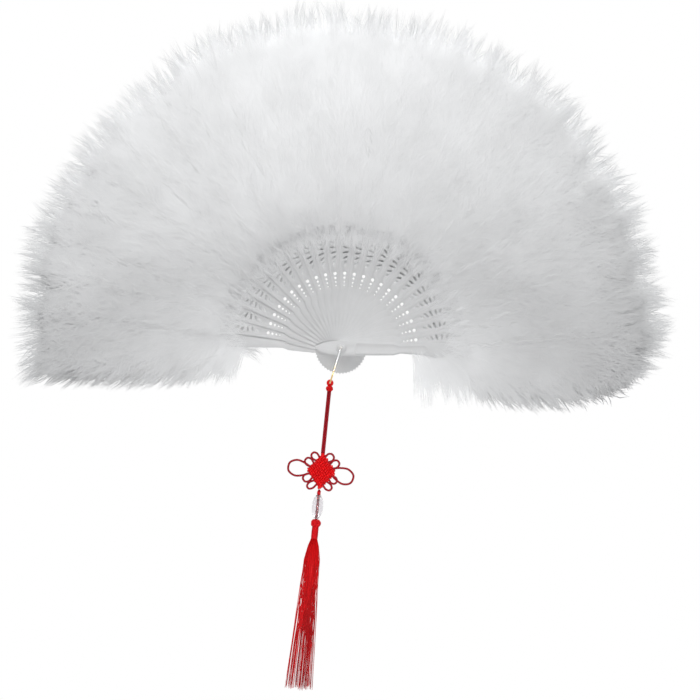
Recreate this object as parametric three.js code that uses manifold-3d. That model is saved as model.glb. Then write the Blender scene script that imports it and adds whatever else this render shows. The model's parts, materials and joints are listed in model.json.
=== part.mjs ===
// A folding fan with pierced sticks and marabou plumes, opened to its stop,
// with a wire bail and a knotted tassel hanging from its pivot.
// Millimetres, +Z up. The sticks turn on the Y axis through the origin. The front faces -Y.
import * as THREE from 'three';
import { mergeVertices } from 'three/addons/utils/BufferGeometryUtils.js';
import Module from 'manifold-3d';

const wasm = await Module();
wasm.setup();

// The fan as a whole
const STICK_COUNT = 25; // the two guards included
const OPEN_ANGLE = 176.6; // degrees between the guards' centre lines
const CLEARANCE = 0.3; // between pieces that touch, turn on or pass through each other

// The stack on the pivot
const STICK_THICKNESS = 0.8;
const GUARD_THICKNESS = 2.0;
const PIVOT_TUBE_WALL = 0.85; // round the bail's pins
const PIVOT_RIM_WIDTH = 1.5; // beyond the tube
const PIVOT_RIM_THICKNESS = 0.9;
const WASHER_MARGIN = 1.3; // beyond the rim
const WASHER_THICKNESS = 0.8;

// A stick: its lengths in turn from the pivot, and half its width at the end of each
const TAIL_LENGTH = 23.4; // behind the pivot
const TAIL_HALF_WIDTH = 6.7; // at the pivot
const TAIL_HANDLE_SHARE = 0.86; // place of the curve's handle, of the tail's length
const TAIL_HANDLE_WIDTH = 5.4; // from the centre line
const BLADE_LENGTH = 47;
const BLADE_HALF_WIDTH = 5.8;
const WAIST_LENGTH = 6;
const WAIST_HALF_WIDTH = 4.0;
const PIERCED_LENGTH = 52;
const SHOULDER_HALF_WIDTH = 7.3;
const SHOULDER_ROUND = 5;
const RIB_HALF_WIDTH = 1.8; // where the slim rib under the plume begins
const RIB_LENGTH = 140;
const RIB_TIP_HALF_WIDTH = 1.2;

// Piercing of the inner sticks: a row of growing round holes, then a leaf of slanted slots
const HOLE_COUNT = 4;
const HOLE_INSET = 3.5; // of the first hole's middle past the waist
const HOLE_RADIUS = 0.7;
const HOLE_GROWTH = 0.18;
const HOLE_WEB = 1.7;
const SLOT_COUNT = 6;
const SLOT_LEAD = 9.6; // from the last hole's middle to the first slot's
const SLOT_INSET = 5; // of the last slot's middle before the shoulder
const SLOT_WIDTH = 1.6;
const SLOT_LENGTH = 5.6; // of the longest
const SLOT_END_SHARE = 0.7; // of that length, at both ends of the row
const SLOT_SLANT = 52; // degrees at the first slot, turning to the other way at the last

// Raised panel on the outer face of each guard
const PANEL_GAP = 7.4; // from the washer
const PANEL_REACH = 25; // past the waist
const PANEL_MARGIN = 1.1;
const PANEL_HEIGHT = 0.5;

// Plumes
const PLUME_GAP = 0.6; // between neighbours
const PLUME_HALF_DEPTH = 27;
const PLUME_ROOT_SHARE = 0.5; // of the depth, where the plume starts
const PLUME_TIP_DEPTH_SHARE = 0.3; // of the depth, at the outer end
const PLUME_TIP_WIDTH_SHARE = 0.6; // of the width, at the outer end
const PLUME_TIP_ROUNDING = 4; // exponent of the fall of the depth towards the outer end
const PLUME_BELLY = 0.5; // share of the length where the plume is deepest
const PLUME_TAPER_START = 0.9; // share of the length where the feathers start to close in
const PLUME_SQUARENESS = 0.7; // exponent of the rounded section
const SIDE_REACH = 41; // of the feathers past the rib's tip, at the guards
const TOP_REACH = 53; // and at the top of the fan
const DROOP_HALF_DEPTH = 23;
const DROOP_ROOT_STATION = 0.1; // share of the length whose depth the hanging root takes
const FRONT_DROOP_LAP = 26; // inwards from the start of the rib
const FRONT_DROOP_ROOT = 46; // below the guard's centre line
const FRONT_DROOP_TIP = 43;
const BACK_DROOP_LAP = 13;
const BACK_DROOP_ROOT = 41;
const BACK_DROOP_TIP = 56;

// Ribbon that spaces the sticks, under the plumes and in front of the ribs
const RIBBON_OFFSET = 21; // past the start of the rib
const RIBBON_WIDTH = 6;
const RIBBON_THICKNESS = 0.3;
const RIBBON_END = 4; // past the guards' centre lines

// Wire bail
const BAIL_WIRE_RADIUS = 0.65;
const BAIL_EYE_SWELL = 0.45; // of the eyes beyond the wire
const BAIL_GAP = 9.6; // between the tails and the crossbar
const BAIL_CORNER_RADIUS = 8;
const BAIL_PIN_DEPTH = 6;
const BAIL_LEAN = 14.6; // degrees towards the left

// Tassel, in turn down its own line from the bail's crossbar
const TASSEL_LEAN = 3.0; // degrees towards the left
const LOOP_CORD_RADIUS = 0.75;
const BUTTON_RADIUS = 3.1;
const CORD_RADIUS = 0.85;
const CORD_SPREAD = 0.72; // of each strand from the middle of the pair
const CORD_LENGTH = 58.2; // from the button's middle to the knot
const KNOT_HALF_WIDTH = 12;
const KNOT_HALF_HEIGHT = 14.5;
const KNOT_ROWS = 5;
const KNOT_CROWN = 2.9; // half the thickness, on a crossing
const KNOT_VALLEY = 1.6; // half the thickness, between crossings
const COLLAR_RADIUS = 1.7;
const COLLAR_LENGTH = 3; // half of it inside the weave
const EAR_LENGTH = 7.6;
const EAR_WIDTH = 5.4;
const EAR_PLACES = [0.3, 0.7]; // shares of a side of the diamond
const EAR_OUTLINE = [[0.25, 0.85], [0.62, 1], [0.95, 0.5]]; // shares of length and half width
const EAR_ROOT_SHARE = 0.45; // of the half width, where the ends are tucked in
const SIDE_EAR_LENGTH = 18.5;
const SIDE_EAR_WIDTH = 13.5;
const STEM_RADIUS = 1.1;
const STEM_ROUND = 0.8; // of the upper end, so that it swings under the knot
const STEM_SHOWN = 5.9; // between the knot and the bead
const BEAD_LENGTH = 21;
const BEAD_RADIUS = 5;
const BEAD_LIP = 0.8; // flat round the bore
const BEAD_SHOULDER_WIDTH = 0.82; // share of the radius
const BEAD_SHOULDER_PLACE = 0.62; // share of the half length
const NECK_RADIUS = 3.1;
const NECK_PINCH = 0.24; // under the knob
const NECK_LENGTH = 14.1; // from the knob's middle
const KNOB_SWELL = 1.0; // of the knob beyond the neck
const SKIRT_SWELL = 1.0; // of the skirt's top beyond the neck
const SKIRT_LENGTH = 136;
const SKIRT_HEM_RADIUS = 9.9;
const SKIRT_SPREAD = 0.55; // exponent: opens quickly below the neck, then slowly
const SKIRT_FLUTES = 9;
const SKIRT_FLUTE_SHARE = 0.1; // of the radius, out and in

// Facets
const BORE_SIDES = 6;
const HOLE_SIDES = 6;
const TAIL_STEPS = 3;
const SHOULDER_STEPS = 2;
const PLUME_SIDES = 8;
const PLUME_STATIONS = [0, 0.22, 0.6, 0.92, 1]; // shares of a plume's length
const LATHE_SIDES = 12;
const WIRE_SIDES = 6;
const BAIL_STEPS = 20;
const EYE_RINGS = 4;
const CORD_SIDES = 6;
const LOOP_SIDES = 5;
const LOOP_STEPS = 8;
const BUTTON_SIDES = 8;
const BUTTON_RINGS = 6;
const EAR_SIDES = 5;
const EAR_STEPS = 8;
const KNOB_STEPS = 4;
const SKIRT_STATIONS = [0, 0.06, 0.25, 0.6, 1]; // shares of the skirt's length
const MERGE_TOLERANCE = 1e-4;

// Places on a stick, from the pivot
const WAIST_RADIUS = BLADE_LENGTH + WAIST_LENGTH;
const SHOULDER_RADIUS = WAIST_RADIUS + PIERCED_LENGTH;
const RIB_RADIUS = SHOULDER_RADIUS + SHOULDER_ROUND;
const RIB_TIP_RADIUS = RIB_RADIUS + RIB_LENGTH;
const RIBBON_RADIUS = RIB_RADIUS + RIBBON_OFFSET;

// Places across the stack, from its middle, and sizes round the pivot
const SECTOR = THREE.MathUtils.degToRad(OPEN_ANGLE / (STICK_COUNT - 1));
const FRONT_ANGLE = THREE.MathUtils.degToRad((180 - OPEN_ANGLE) / 2);
const LAST = STICK_COUNT - 1;
const INNER_DEPTH = (STICK_COUNT - 2) * (STICK_THICKNESS + CLEARANCE) - CLEARANCE;
const GUARD_LEVEL = INNER_DEPTH / 2 + CLEARANCE + GUARD_THICKNESS / 2;
const STACK_FACE = GUARD_LEVEL + GUARD_THICKNESS / 2;
const WASHER_FACE = STACK_FACE + CLEARANCE;
const RIM_FACE = WASHER_FACE + WASHER_THICKNESS + CLEARANCE;
const TUBE_END = RIM_FACE + PIVOT_RIM_THICKNESS;
const TUBE_BORE_RADIUS = BAIL_WIRE_RADIUS + CLEARANCE;
const TUBE_RADIUS = TUBE_BORE_RADIUS + PIVOT_TUBE_WALL;
const RIM_RADIUS = TUBE_RADIUS + PIVOT_RIM_WIDTH;
const WASHER_RADIUS = RIM_RADIUS + WASHER_MARGIN;

// Places down the bail and the tassel
const BAIL_EYE_RADIUS = BAIL_WIRE_RADIUS + BAIL_EYE_SWELL;
const BAIL_DROP = TAIL_LENGTH + BAIL_GAP;
const LOOP_RADIUS = BAIL_WIRE_RADIUS + 2 * CLEARANCE + LOOP_CORD_RADIUS;
const BUTTON_DROP = LOOP_RADIUS + BUTTON_RADIUS;
const CORD_END_DROP = BUTTON_DROP + CORD_LENGTH;
const KNOT_DROP = CORD_END_DROP + CLEARANCE + COLLAR_LENGTH / 2 + KNOT_HALF_HEIGHT;
const KNOT_FOOT_DROP = KNOT_DROP + KNOT_HALF_HEIGHT + COLLAR_LENGTH / 2;
const BEAD_DROP = KNOT_FOOT_DROP + STEM_SHOWN + BEAD_LENGTH / 2;
const KNOB_RADIUS = NECK_RADIUS + KNOB_SWELL;
const KNOB_DROP = BEAD_DROP + BEAD_LENGTH / 2 + CLEARANCE + KNOB_RADIUS;
const NECK_END_DROP = KNOB_DROP + NECK_LENGTH;

const plastic = { color: 0xd6d8da, roughness: 0.42, metalness: 0 };
const feather = { color: 0xf3f3f4, roughness: 0.95, metalness: 0 };
const steel = { color: 0xc9bfa8, roughness: 0.3, metalness: 1 };
const redCord = { color: 0xc8101c, roughness: 0.6, metalness: 0 };
const clearBead = { color: 0xe6dfe2, roughness: 0.15, metalness: 0 };
const ribbonCloth = { color: 0xf0f0f0, roughness: 0.7, metalness: 0 };

// One named piece of the fan
function piece(name, geometry, finish) {
  const mesh = new THREE.Mesh(geometry, new THREE.MeshStandardMaterial(finish));
  mesh.name = name;
  return mesh;
}

// A closed geometry as a solid that can be joined and cut
function toSolid(geometry) {
  const bare = geometry.clone();
  bare.deleteAttribute('normal');
  bare.deleteAttribute('uv');
  const merged = mergeVertices(bare, MERGE_TOLERANCE);
  const corners = merged.index.array;
  const triVerts = [];
  for (let k = 0; k < corners.length; k += 3) {
    const [a, b, c] = [corners[k], corners[k + 1], corners[k + 2]];
    if (a !== b && b !== c && c !== a) {
      triVerts.push(a, b, c);
    }
  }
  const vertProperties = new Float32Array(merged.attributes.position.array);
  const mesh = new wasm.Mesh({ numProp: 3, vertProperties, triVerts: new Uint32Array(triVerts) });
  return new wasm.Manifold(mesh);
}

function toGeometry(solid) {
  const mesh = solid.getMesh();
  const geometry = new THREE.BufferGeometry();
  geometry.setAttribute('position', new THREE.BufferAttribute(mesh.vertProperties, 3));
  geometry.setIndex(new THREE.BufferAttribute(mesh.triVerts, 1));
  geometry.computeVertexNormals();
  return geometry;
}

function joined(geometries) {
  const solids = geometries.map(toSolid);
  return toGeometry(solids.reduce((whole, next) => whole.add(next)));
}

function cut(geometry, cutters) {
  const body = toSolid(geometry);
  return toGeometry(cutters.map(toSolid).reduce((rest, cutter) => rest.subtract(cutter), body));
}

// Closed skin over a row of rings with equal point counts, flat at both ends
function loft(rings) {
  const count = rings[0].length;
  const last = (rings.length - 1) * count;
  const index = [];
  for (let row = 0; row < last; row += count) {
    for (let k = 0; k < count; k += 1) {
      const next = (k + 1) % count;
      index.push(row + k, row + count + next, row + next);
      index.push(row + k, row + count + k, row + count + next);
    }
  }
  for (let k = 1; k < count - 1; k += 1) {
    index.push(0, k, k + 1);
    index.push(last, last + k + 1, last + k);
  }
  const geometry = new THREE.BufferGeometry().setFromPoints(rings.flat());
  geometry.setIndex(index);
  geometry.computeVertexNormals();
  return geometry;
}

// A regular polygon whose flat sides, or whose corners, lie on the circle
function polygonPath(x, y, radius, sides, flatsOnCircle) {
  const corner = flatsOnCircle ? radius / Math.cos(Math.PI / sides) : radius;
  const points = [];
  for (let k = 0; k < sides; k += 1) {
    const turn = (2 * Math.PI * k) / sides;
    points.push(new THREE.Vector2(x + corner * Math.cos(turn), y + corner * Math.sin(turn)));
  }
  return new THREE.Path(points);
}

// A flat shape drawn along and across a stick, as a plate with X along the stick and Y through the stack
function plate(shape, yLow, yHigh) {
  const geometry = new THREE.ExtrudeGeometry(shape, { depth: yHigh - yLow, bevelEnabled: false });
  geometry.rotateX(Math.PI / 2);
  geometry.translate(0, yHigh, 0);
  return geometry;
}

// A ring or a solid of revolution about the Y axis, from points of radius and Y
function turned(points) {
  const profile = points.map(([radius, y]) => new THREE.Vector2(radius, y));
  return new THREE.LatheGeometry(profile, LATHE_SIDES);
}

// Corner radius of a turned bore whose flats clear a round of the given radius
function boreFor(radius) {
  return (radius + CLEARANCE) / Math.cos(Math.PI / LATHE_SIDES);
}

// A round wire or cord along a curve
function wireAlong(curve, radius, sides, steps) {
  const section = new THREE.Shape(polygonPath(0, 0, radius, sides, false).getPoints());
  return new THREE.ExtrudeGeometry(section, { extrudePath: curve, steps, bevelEnabled: false });
}

function levelOf(number) {
  if (number === 0) {
    return -GUARD_LEVEL;
  }
  if (number === LAST) {
    return GUARD_LEVEL;
  }
  return (number - LAST / 2) * (STICK_THICKNESS + CLEARANCE);
}

function thicknessOf(number) {
  return number === 0 || number === LAST ? GUARD_THICKNESS : STICK_THICKNESS;
}

// Sticks

// Upper edge of a stick, from the tip of its tail to the tip of its rib
function upperEdge() {
  const tail = new THREE.QuadraticBezierCurve(
    new THREE.Vector2(-TAIL_LENGTH, 0),
    new THREE.Vector2(-TAIL_LENGTH * TAIL_HANDLE_SHARE, TAIL_HANDLE_WIDTH),
    new THREE.Vector2(0, TAIL_HALF_WIDTH),
  );
  const shoulder = new THREE.QuadraticBezierCurve(
    new THREE.Vector2(SHOULDER_RADIUS, SHOULDER_HALF_WIDTH),
    new THREE.Vector2(RIB_RADIUS, SHOULDER_HALF_WIDTH),
    new THREE.Vector2(RIB_RADIUS, RIB_HALF_WIDTH),
  );
  return [
    ...tail.getPoints(TAIL_STEPS),
    new THREE.Vector2(BLADE_LENGTH, BLADE_HALF_WIDTH),
    new THREE.Vector2(WAIST_RADIUS, WAIST_HALF_WIDTH),
    ...shoulder.getPoints(SHOULDER_STEPS),
    new THREE.Vector2(RIB_TIP_RADIUS, RIB_TIP_HALF_WIDTH),
  ];
}

function mirrored(edge) {
  const lower = edge.filter((point) => point.y > 0).map((point) => new THREE.Vector2(point.x, -point.y));
  return new THREE.Shape([...edge, ...lower.reverse()]);
}

// A stick of the given thickness with its bore and the given openings cut through
function pierced(thickness, openings) {
  const bore = polygonPath(0, 0, TUBE_RADIUS + CLEARANCE, BORE_SIDES, true);
  const cutters = [bore, ...openings].map((path) => {
    const shape = new THREE.Shape(path.getPoints());
    return plate(shape, -thickness, thickness);
  });
  return cut(plate(mirrored(upperEdge()), -thickness / 2, thickness / 2), cutters);
}

// Radius and place of each round hole, with an equal web between neighbours
function roundHoles() {
  const holes = [];
  let along = WAIST_RADIUS + HOLE_INSET;
  for (let k = 0; k < HOLE_COUNT; k += 1) {
    const radius = HOLE_RADIUS + HOLE_GROWTH * k;
    holes.push({ along, radius });
    along += radius + HOLE_WEB + radius + HOLE_GROWTH;
  }
  return holes;
}

// Slots like the veins of a leaf, from one place to another: shorter at both ends, and turning along the row
function leafSlots(start, end) {
  const slots = [];
  for (let k = 0; k < SLOT_COUNT; k += 1) {
    const share = k / (SLOT_COUNT - 1);
    const slant = THREE.MathUtils.degToRad(SLOT_SLANT * (1 - 2 * share)) + Math.PI / 2;
    const half = (SLOT_LENGTH / 2) * THREE.MathUtils.lerp(SLOT_END_SHARE, 1, Math.sin(Math.PI * share));
    const middle = new THREE.Vector2(THREE.MathUtils.lerp(start, end, share), 0);
    const run = new THREE.Vector2(Math.cos(slant), Math.sin(slant)).multiplyScalar(half);
    const side = new THREE.Vector2(SLOT_WIDTH / 2, 0);
    const ends = [middle.clone().add(run), middle.clone().sub(run)];
    slots.push(new THREE.Path([
      ends[0].clone().sub(side),
      ends[1].clone().sub(side),
      ends[1].clone().add(side),
      ends[0].clone().add(side),
    ]));
  }
  return slots;
}

function innerStick() {
  const holes = roundHoles();
  const slotStart = holes[holes.length - 1].along + SLOT_LEAD;
  const slots = leafSlots(slotStart, SHOULDER_RADIUS - SLOT_INSET);
  const rounds = holes.map(({ along, radius }) => polygonPath(along, 0, radius, HOLE_SIDES, false));
  return pierced(STICK_THICKNESS, [...rounds, ...slots]);
}

// Half width of the blade between the pivot and the shoulder
function bladeHalfWidth(radius) {
  if (radius < BLADE_LENGTH) {
    return THREE.MathUtils.mapLinear(radius, 0, BLADE_LENGTH, TAIL_HALF_WIDTH, BLADE_HALF_WIDTH);
  }
  if (radius < WAIST_RADIUS) {
    return THREE.MathUtils.mapLinear(radius, BLADE_LENGTH, WAIST_RADIUS, BLADE_HALF_WIDTH, WAIST_HALF_WIDTH);
  }
  return THREE.MathUtils.mapLinear(
    radius, WAIST_RADIUS, SHOULDER_RADIUS, WAIST_HALF_WIDTH, SHOULDER_HALF_WIDTH,
  );
}

// A thicker stick with a raised panel on its outer face, which lies towards the given side of Y
function guard(outerSide) {
  const stations = [WASHER_RADIUS + PANEL_GAP, BLADE_LENGTH, WAIST_RADIUS, WAIST_RADIUS + PANEL_REACH];
  const edge = stations.map((along) => new THREE.Vector2(along, bladeHalfWidth(along) - PANEL_MARGIN));
  const top = GUARD_THICKNESS / 2 + PANEL_HEIGHT;
  const panel = plate(mirrored(edge), outerSide > 0 ? 0 : -top, outerSide > 0 ? top : 0);
  return joined([pierced(GUARD_THICKNESS, []), panel]);
}

// Plumes

function sectorHalfWidth(radius) {
  return radius * Math.tan(SECTOR / 2) - PLUME_GAP / 2;
}

function plumeTip(number) {
  const height = Math.sin(FRONT_ANGLE + SECTOR * number);
  return RIB_TIP_RADIUS + THREE.MathUtils.lerp(SIDE_REACH, TOP_REACH, height);
}

// Rounded section of a plume across its stick, between two distances to the side of the rib
function plumeRing(radius, low, high, halfDepth) {
  const middle = (low + high) / 2;
  const half = (high - low) / 2;
  const ring = [];
  for (let k = 0; k < PLUME_SIDES; k += 1) {
    const turn = (2 * Math.PI * k) / PLUME_SIDES;
    const across = Math.sign(Math.cos(turn)) * Math.abs(Math.cos(turn)) ** PLUME_SQUARENESS;
    const through = Math.sign(Math.sin(turn)) * Math.abs(Math.sin(turn)) ** PLUME_SQUARENESS;
    ring.push(new THREE.Vector3(radius, halfDepth * through, middle + half * across));
  }
  return ring;
}

// Share of the full depth along a plume: slim at the root, deepest at the belly, rounded off at the tip
function plumeFullness(share) {
  if (share < PLUME_BELLY) {
    const back = 1 - share / PLUME_BELLY;
    return Math.sqrt(1 - (1 - PLUME_ROOT_SHARE ** 2) * back ** 2);
  }
  const on = (share - PLUME_BELLY) / (1 - PLUME_BELLY);
  return Math.sqrt(1 - (1 - PLUME_TIP_DEPTH_SHARE ** 2) * on ** PLUME_TIP_ROUNDING);
}

// The feathers close in across the stick over the last part of their length
function plumeTaper(share) {
  const on = Math.max(0, (share - PLUME_TAPER_START) / (1 - PLUME_TAPER_START));
  return 1 - (1 - PLUME_TIP_WIDTH_SHARE) * on ** 2;
}

// Pocket for the rib, open where the rib comes in
function ribPocket(number) {
  const edge = [
    new THREE.Vector2(SHOULDER_RADIUS, RIB_HALF_WIDTH + CLEARANCE),
    new THREE.Vector2(RIB_TIP_RADIUS + CLEARANCE, RIB_TIP_HALF_WIDTH + CLEARANCE),
  ];
  const half = thicknessOf(number) / 2 + CLEARANCE;
  return plate(mirrored(edge), -half, half);
}

// A plume's skin with room for the rib and the ribbon
function onItsRib(rings, number) {
  return cut(loft(rings), [ribPocket(number), ribbonStrip(number, number, number, CLEARANCE)]);
}

function plume(number) {
  const rings = PLUME_STATIONS.map((share) => {
    const radius = THREE.MathUtils.lerp(RIB_RADIUS + CLEARANCE, plumeTip(number), share);
    const half = sectorHalfWidth(radius) * plumeTaper(share);
    return plumeRing(radius, -half, half, PLUME_HALF_DEPTH * plumeFullness(share));
  });
  return onItsRib(rings, number);
}

// A guard's plume also hangs over the fan's lower edge, to the given side of the guard
function guardPlume(number, lap, droopRoot, droopTip, hangsTo) {
  const bladeEdge = SHOULDER_HALF_WIDTH + CLEARANCE;
  const ringAt = (radius, inner, droop, halfDepth) => {
    const [low, high] = hangsTo < 0 ? [-droop, inner] : [-inner, droop];
    return plumeRing(radius, low, high, halfDepth);
  };
  const depthAt = (share) => DROOP_HALF_DEPTH * plumeFullness(Math.max(share, DROOP_ROOT_STATION));
  const rings = [
    ringAt(RIB_RADIUS - lap, -bladeEdge, (droopRoot + bladeEdge) / 2, DROOP_HALF_DEPTH * PLUME_ROOT_SHARE),
    ringAt(RIB_RADIUS, -bladeEdge, droopRoot, depthAt(0)),
  ];
  for (const share of PLUME_STATIONS) {
    const radius = THREE.MathUtils.lerp(RIB_RADIUS + CLEARANCE, plumeTip(number), share);
    const taper = plumeTaper(share);
    const droop = THREE.MathUtils.lerp(droopRoot, droopTip, share) * taper;
    rings.push(ringAt(radius, sectorHalfWidth(radius) * taper, droop, depthAt(share)));
  }
  return onItsRib(rings, number);
}

// Ribbon

// Height in the stack of the ribbon's middle, where it lies over a rib
function ribbonLevel(number) {
  const lift = number === 0 || number === LAST ? 2 * CLEARANCE : CLEARANCE;
  return levelOf(number) - thicknessOf(number) / 2 - lift - RIBBON_THICKNESS / 2;
}

// Straight spans over the fronts of the ribs from one stick to another,
// in the frame of a third and grown by a margin
function ribbonStrip(first, last, frameNumber, margin) {
  const halfWidth = RIBBON_WIDTH / 2 + margin;
  const half = RIBBON_THICKNESS / 2 + margin;
  const end = (RIBBON_END + margin) / RIBBON_RADIUS;
  const ringAt = (turn, level) => {
    const y = level - levelOf(frameNumber);
    const corner = (across, through) => {
      const radius = RIBBON_RADIUS + across;
      return new THREE.Vector3(radius * Math.cos(turn), y + through, radius * Math.sin(turn));
    };
    return [
      corner(-halfWidth, half),
      corner(halfWidth, half),
      corner(halfWidth, -half),
      corner(-halfWidth, -half),
    ];
  };
  const between = (number) => {
    const level = (ribbonLevel(number) + ribbonLevel(number + 1)) / 2;
    return ringAt(SECTOR * (number + 0.5 - frameNumber), level);
  };
  const rings = [];
  rings.push(first === 0 ? ringAt(-SECTOR * frameNumber - end, ribbonLevel(0)) : between(first - 1));
  for (let number = first; number < last; number += 1) {
    rings.push(between(number));
  }
  const lastTurn = SECTOR * (LAST - frameNumber) + end;
  rings.push(last === LAST ? ringAt(lastTurn, ribbonLevel(LAST)) : between(last));
  return loft(rings);
}

// Pivot

// Tube with a rim turned out at each end, round the bail's pins
function pivotTube() {
  const bore = boreFor(BAIL_WIRE_RADIUS);
  const rimTop = RIM_RADIUS - PIVOT_RIM_THICKNESS / 2;
  return turned([
    [bore, -TUBE_END],
    [rimTop, -TUBE_END],
    [RIM_RADIUS, -RIM_FACE],
    [TUBE_RADIUS, -RIM_FACE],
    [TUBE_RADIUS, RIM_FACE],
    [RIM_RADIUS, RIM_FACE],
    [rimTop, TUBE_END],
    [bore, TUBE_END],
    [bore, -TUBE_END],
  ]);
}

function washer() {
  const bore = boreFor(TUBE_RADIUS);
  return turned([
    [bore, 0],
    [WASHER_RADIUS, 0],
    [WASHER_RADIUS, WASHER_THICKNESS],
    [bore, WASHER_THICKNESS],
    [bore, 0],
  ]);
}

// Bail

// A bent wire from eye to eye under the tails, with a pin from each eye into the pivot tube
function bail() {
  const legY = TUBE_END + CLEARANCE + BAIL_EYE_RADIUS;
  const cornerY = legY - BAIL_CORNER_RADIUS;
  const cornerZ = -BAIL_DROP + BAIL_CORNER_RADIUS;
  const bend = BAIL_CORNER_RADIUS * (Math.SQRT2 - 1) * (4 / 3);
  const at = (y, z) => new THREE.Vector3(0, y, z);
  const wire = new THREE.CurvePath();
  wire.add(new THREE.LineCurve3(at(-legY, 0), at(-legY, cornerZ)));
  wire.add(new THREE.CubicBezierCurve3(
    at(-legY, cornerZ), at(-legY, cornerZ - bend), at(-cornerY - bend, -BAIL_DROP), at(-cornerY, -BAIL_DROP),
  ));
  wire.add(new THREE.LineCurve3(at(-cornerY, -BAIL_DROP), at(cornerY, -BAIL_DROP)));
  wire.add(new THREE.CubicBezierCurve3(
    at(cornerY, -BAIL_DROP), at(cornerY + bend, -BAIL_DROP), at(legY, cornerZ - bend), at(legY, cornerZ),
  ));
  wire.add(new THREE.LineCurve3(at(legY, cornerZ), at(legY, 0)));
  const solids = [wireAlong(wire, BAIL_WIRE_RADIUS, WIRE_SIDES, BAIL_STEPS)];
  const pinEnd = TUBE_END - BAIL_PIN_DEPTH;
  for (const side of [-1, 1]) {
    const pin = new THREE.CylinderGeometry(BAIL_WIRE_RADIUS, BAIL_WIRE_RADIUS, legY - pinEnd, WIRE_SIDES);
    pin.translate(0, (side * (legY + pinEnd)) / 2, 0);
    const eye = new THREE.SphereGeometry(BAIL_EYE_RADIUS, WIRE_SIDES, EYE_RINGS);
    eye.translate(0, side * legY, 0);
    solids.push(pin, eye);
  }
  return joined(solids);
}

// Tassel

// A round rod down the tassel's line
function rod(radius, length, sides, x, z) {
  const geometry = new THREE.CylinderGeometry(radius, radius, length, sides);
  geometry.rotateX(Math.PI / 2);
  geometry.translate(x, 0, z);
  return geometry;
}

// Loop on the bail, button knot and the two strands side by side
function hangCord() {
  const loop = new THREE.TorusGeometry(LOOP_RADIUS, LOOP_CORD_RADIUS, LOOP_SIDES, LOOP_STEPS);
  loop.rotateX(Math.PI / 2);
  const button = new THREE.SphereGeometry(BUTTON_RADIUS, BUTTON_SIDES, BUTTON_RINGS);
  button.translate(0, 0, -BUTTON_DROP);
  const middle = -(BUTTON_DROP + CORD_END_DROP) / 2;
  const strandAt = (x) => rod(CORD_RADIUS, CORD_LENGTH, CORD_SIDES, x, middle);
  return joined([loop, button, strandAt(-CORD_SPREAD), strandAt(CORD_SPREAD)]);
}

// One ear of the knot: a loop of cord whose ends are tucked into the weave
function ear(base, outward, length, width) {
  const along = new THREE.Vector3(outward.x, 0, outward.y);
  const across = new THREE.Vector3(-outward.y, 0, outward.x);
  const at = (out, side) => new THREE.Vector3(base.x, 0, base.y)
    .addScaledVector(along, out * length)
    .addScaledVector(across, (side * width) / 2);
  const outline = [[-KNOT_CROWN / length, EAR_ROOT_SHARE], ...EAR_OUTLINE];
  const there = outline.map(([out, side]) => at(out, -side));
  const back = outline.map(([out, side]) => at(out, side)).reverse();
  const curve = new THREE.CatmullRomCurve3([...there, ...back]);
  return wireAlong(curve, CORD_RADIUS, EAR_SIDES, EAR_STEPS);
}

// Diamond cushion of crossing cords: one raised boss where each pair of cords crosses, front and back
function weave() {
  const rise = new THREE.Vector2(KNOT_HALF_WIDTH, KNOT_HALF_HEIGHT);
  const fall = new THREE.Vector2(KNOT_HALF_WIDTH, -KNOT_HALF_HEIGHT);
  const at = (alongRise, alongFall, y) => {
    const u = alongRise / KNOT_ROWS - 0.5;
    const v = alongFall / KNOT_ROWS - 0.5;
    return new THREE.Vector3(rise.x * u + fall.x * v, y, rise.y * u + fall.y * v);
  };
  const corners = [];
  const addTriangle = (side, a, b, c) => corners.push(...(side < 0 ? [a, b, c] : [a, c, b]));
  for (const side of [-1, 1]) {
    const valley = side * KNOT_VALLEY;
    for (let i = 0; i < KNOT_ROWS; i += 1) {
      for (let j = 0; j < KNOT_ROWS; j += 1) {
        const crown = at(i + 0.5, j + 0.5, side * KNOT_CROWN);
        const rim = [at(i, j, valley), at(i, j + 1, valley), at(i + 1, j + 1, valley), at(i + 1, j, valley)];
        rim.forEach((corner, k) => addTriangle(side, crown, corner, rim[(k + 1) % rim.length]));
      }
    }
  }
  for (let k = 0; k < KNOT_ROWS; k += 1) {
    const edges = [[k, 0, k + 1, 0], [KNOT_ROWS, k, KNOT_ROWS, k + 1]];
    edges.push([k + 1, KNOT_ROWS, k, KNOT_ROWS], [0, k + 1, 0, k]);
    for (const [i, j, m, n] of edges) {
      const [a, b] = [at(i, j, -KNOT_VALLEY), at(m, n, -KNOT_VALLEY)];
      const [c, d] = [at(m, n, KNOT_VALLEY), at(i, j, KNOT_VALLEY)];
      corners.push(a, b, c, a, c, d);
    }
  }
  return new THREE.BufferGeometry().setFromPoints(corners);
}

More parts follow.
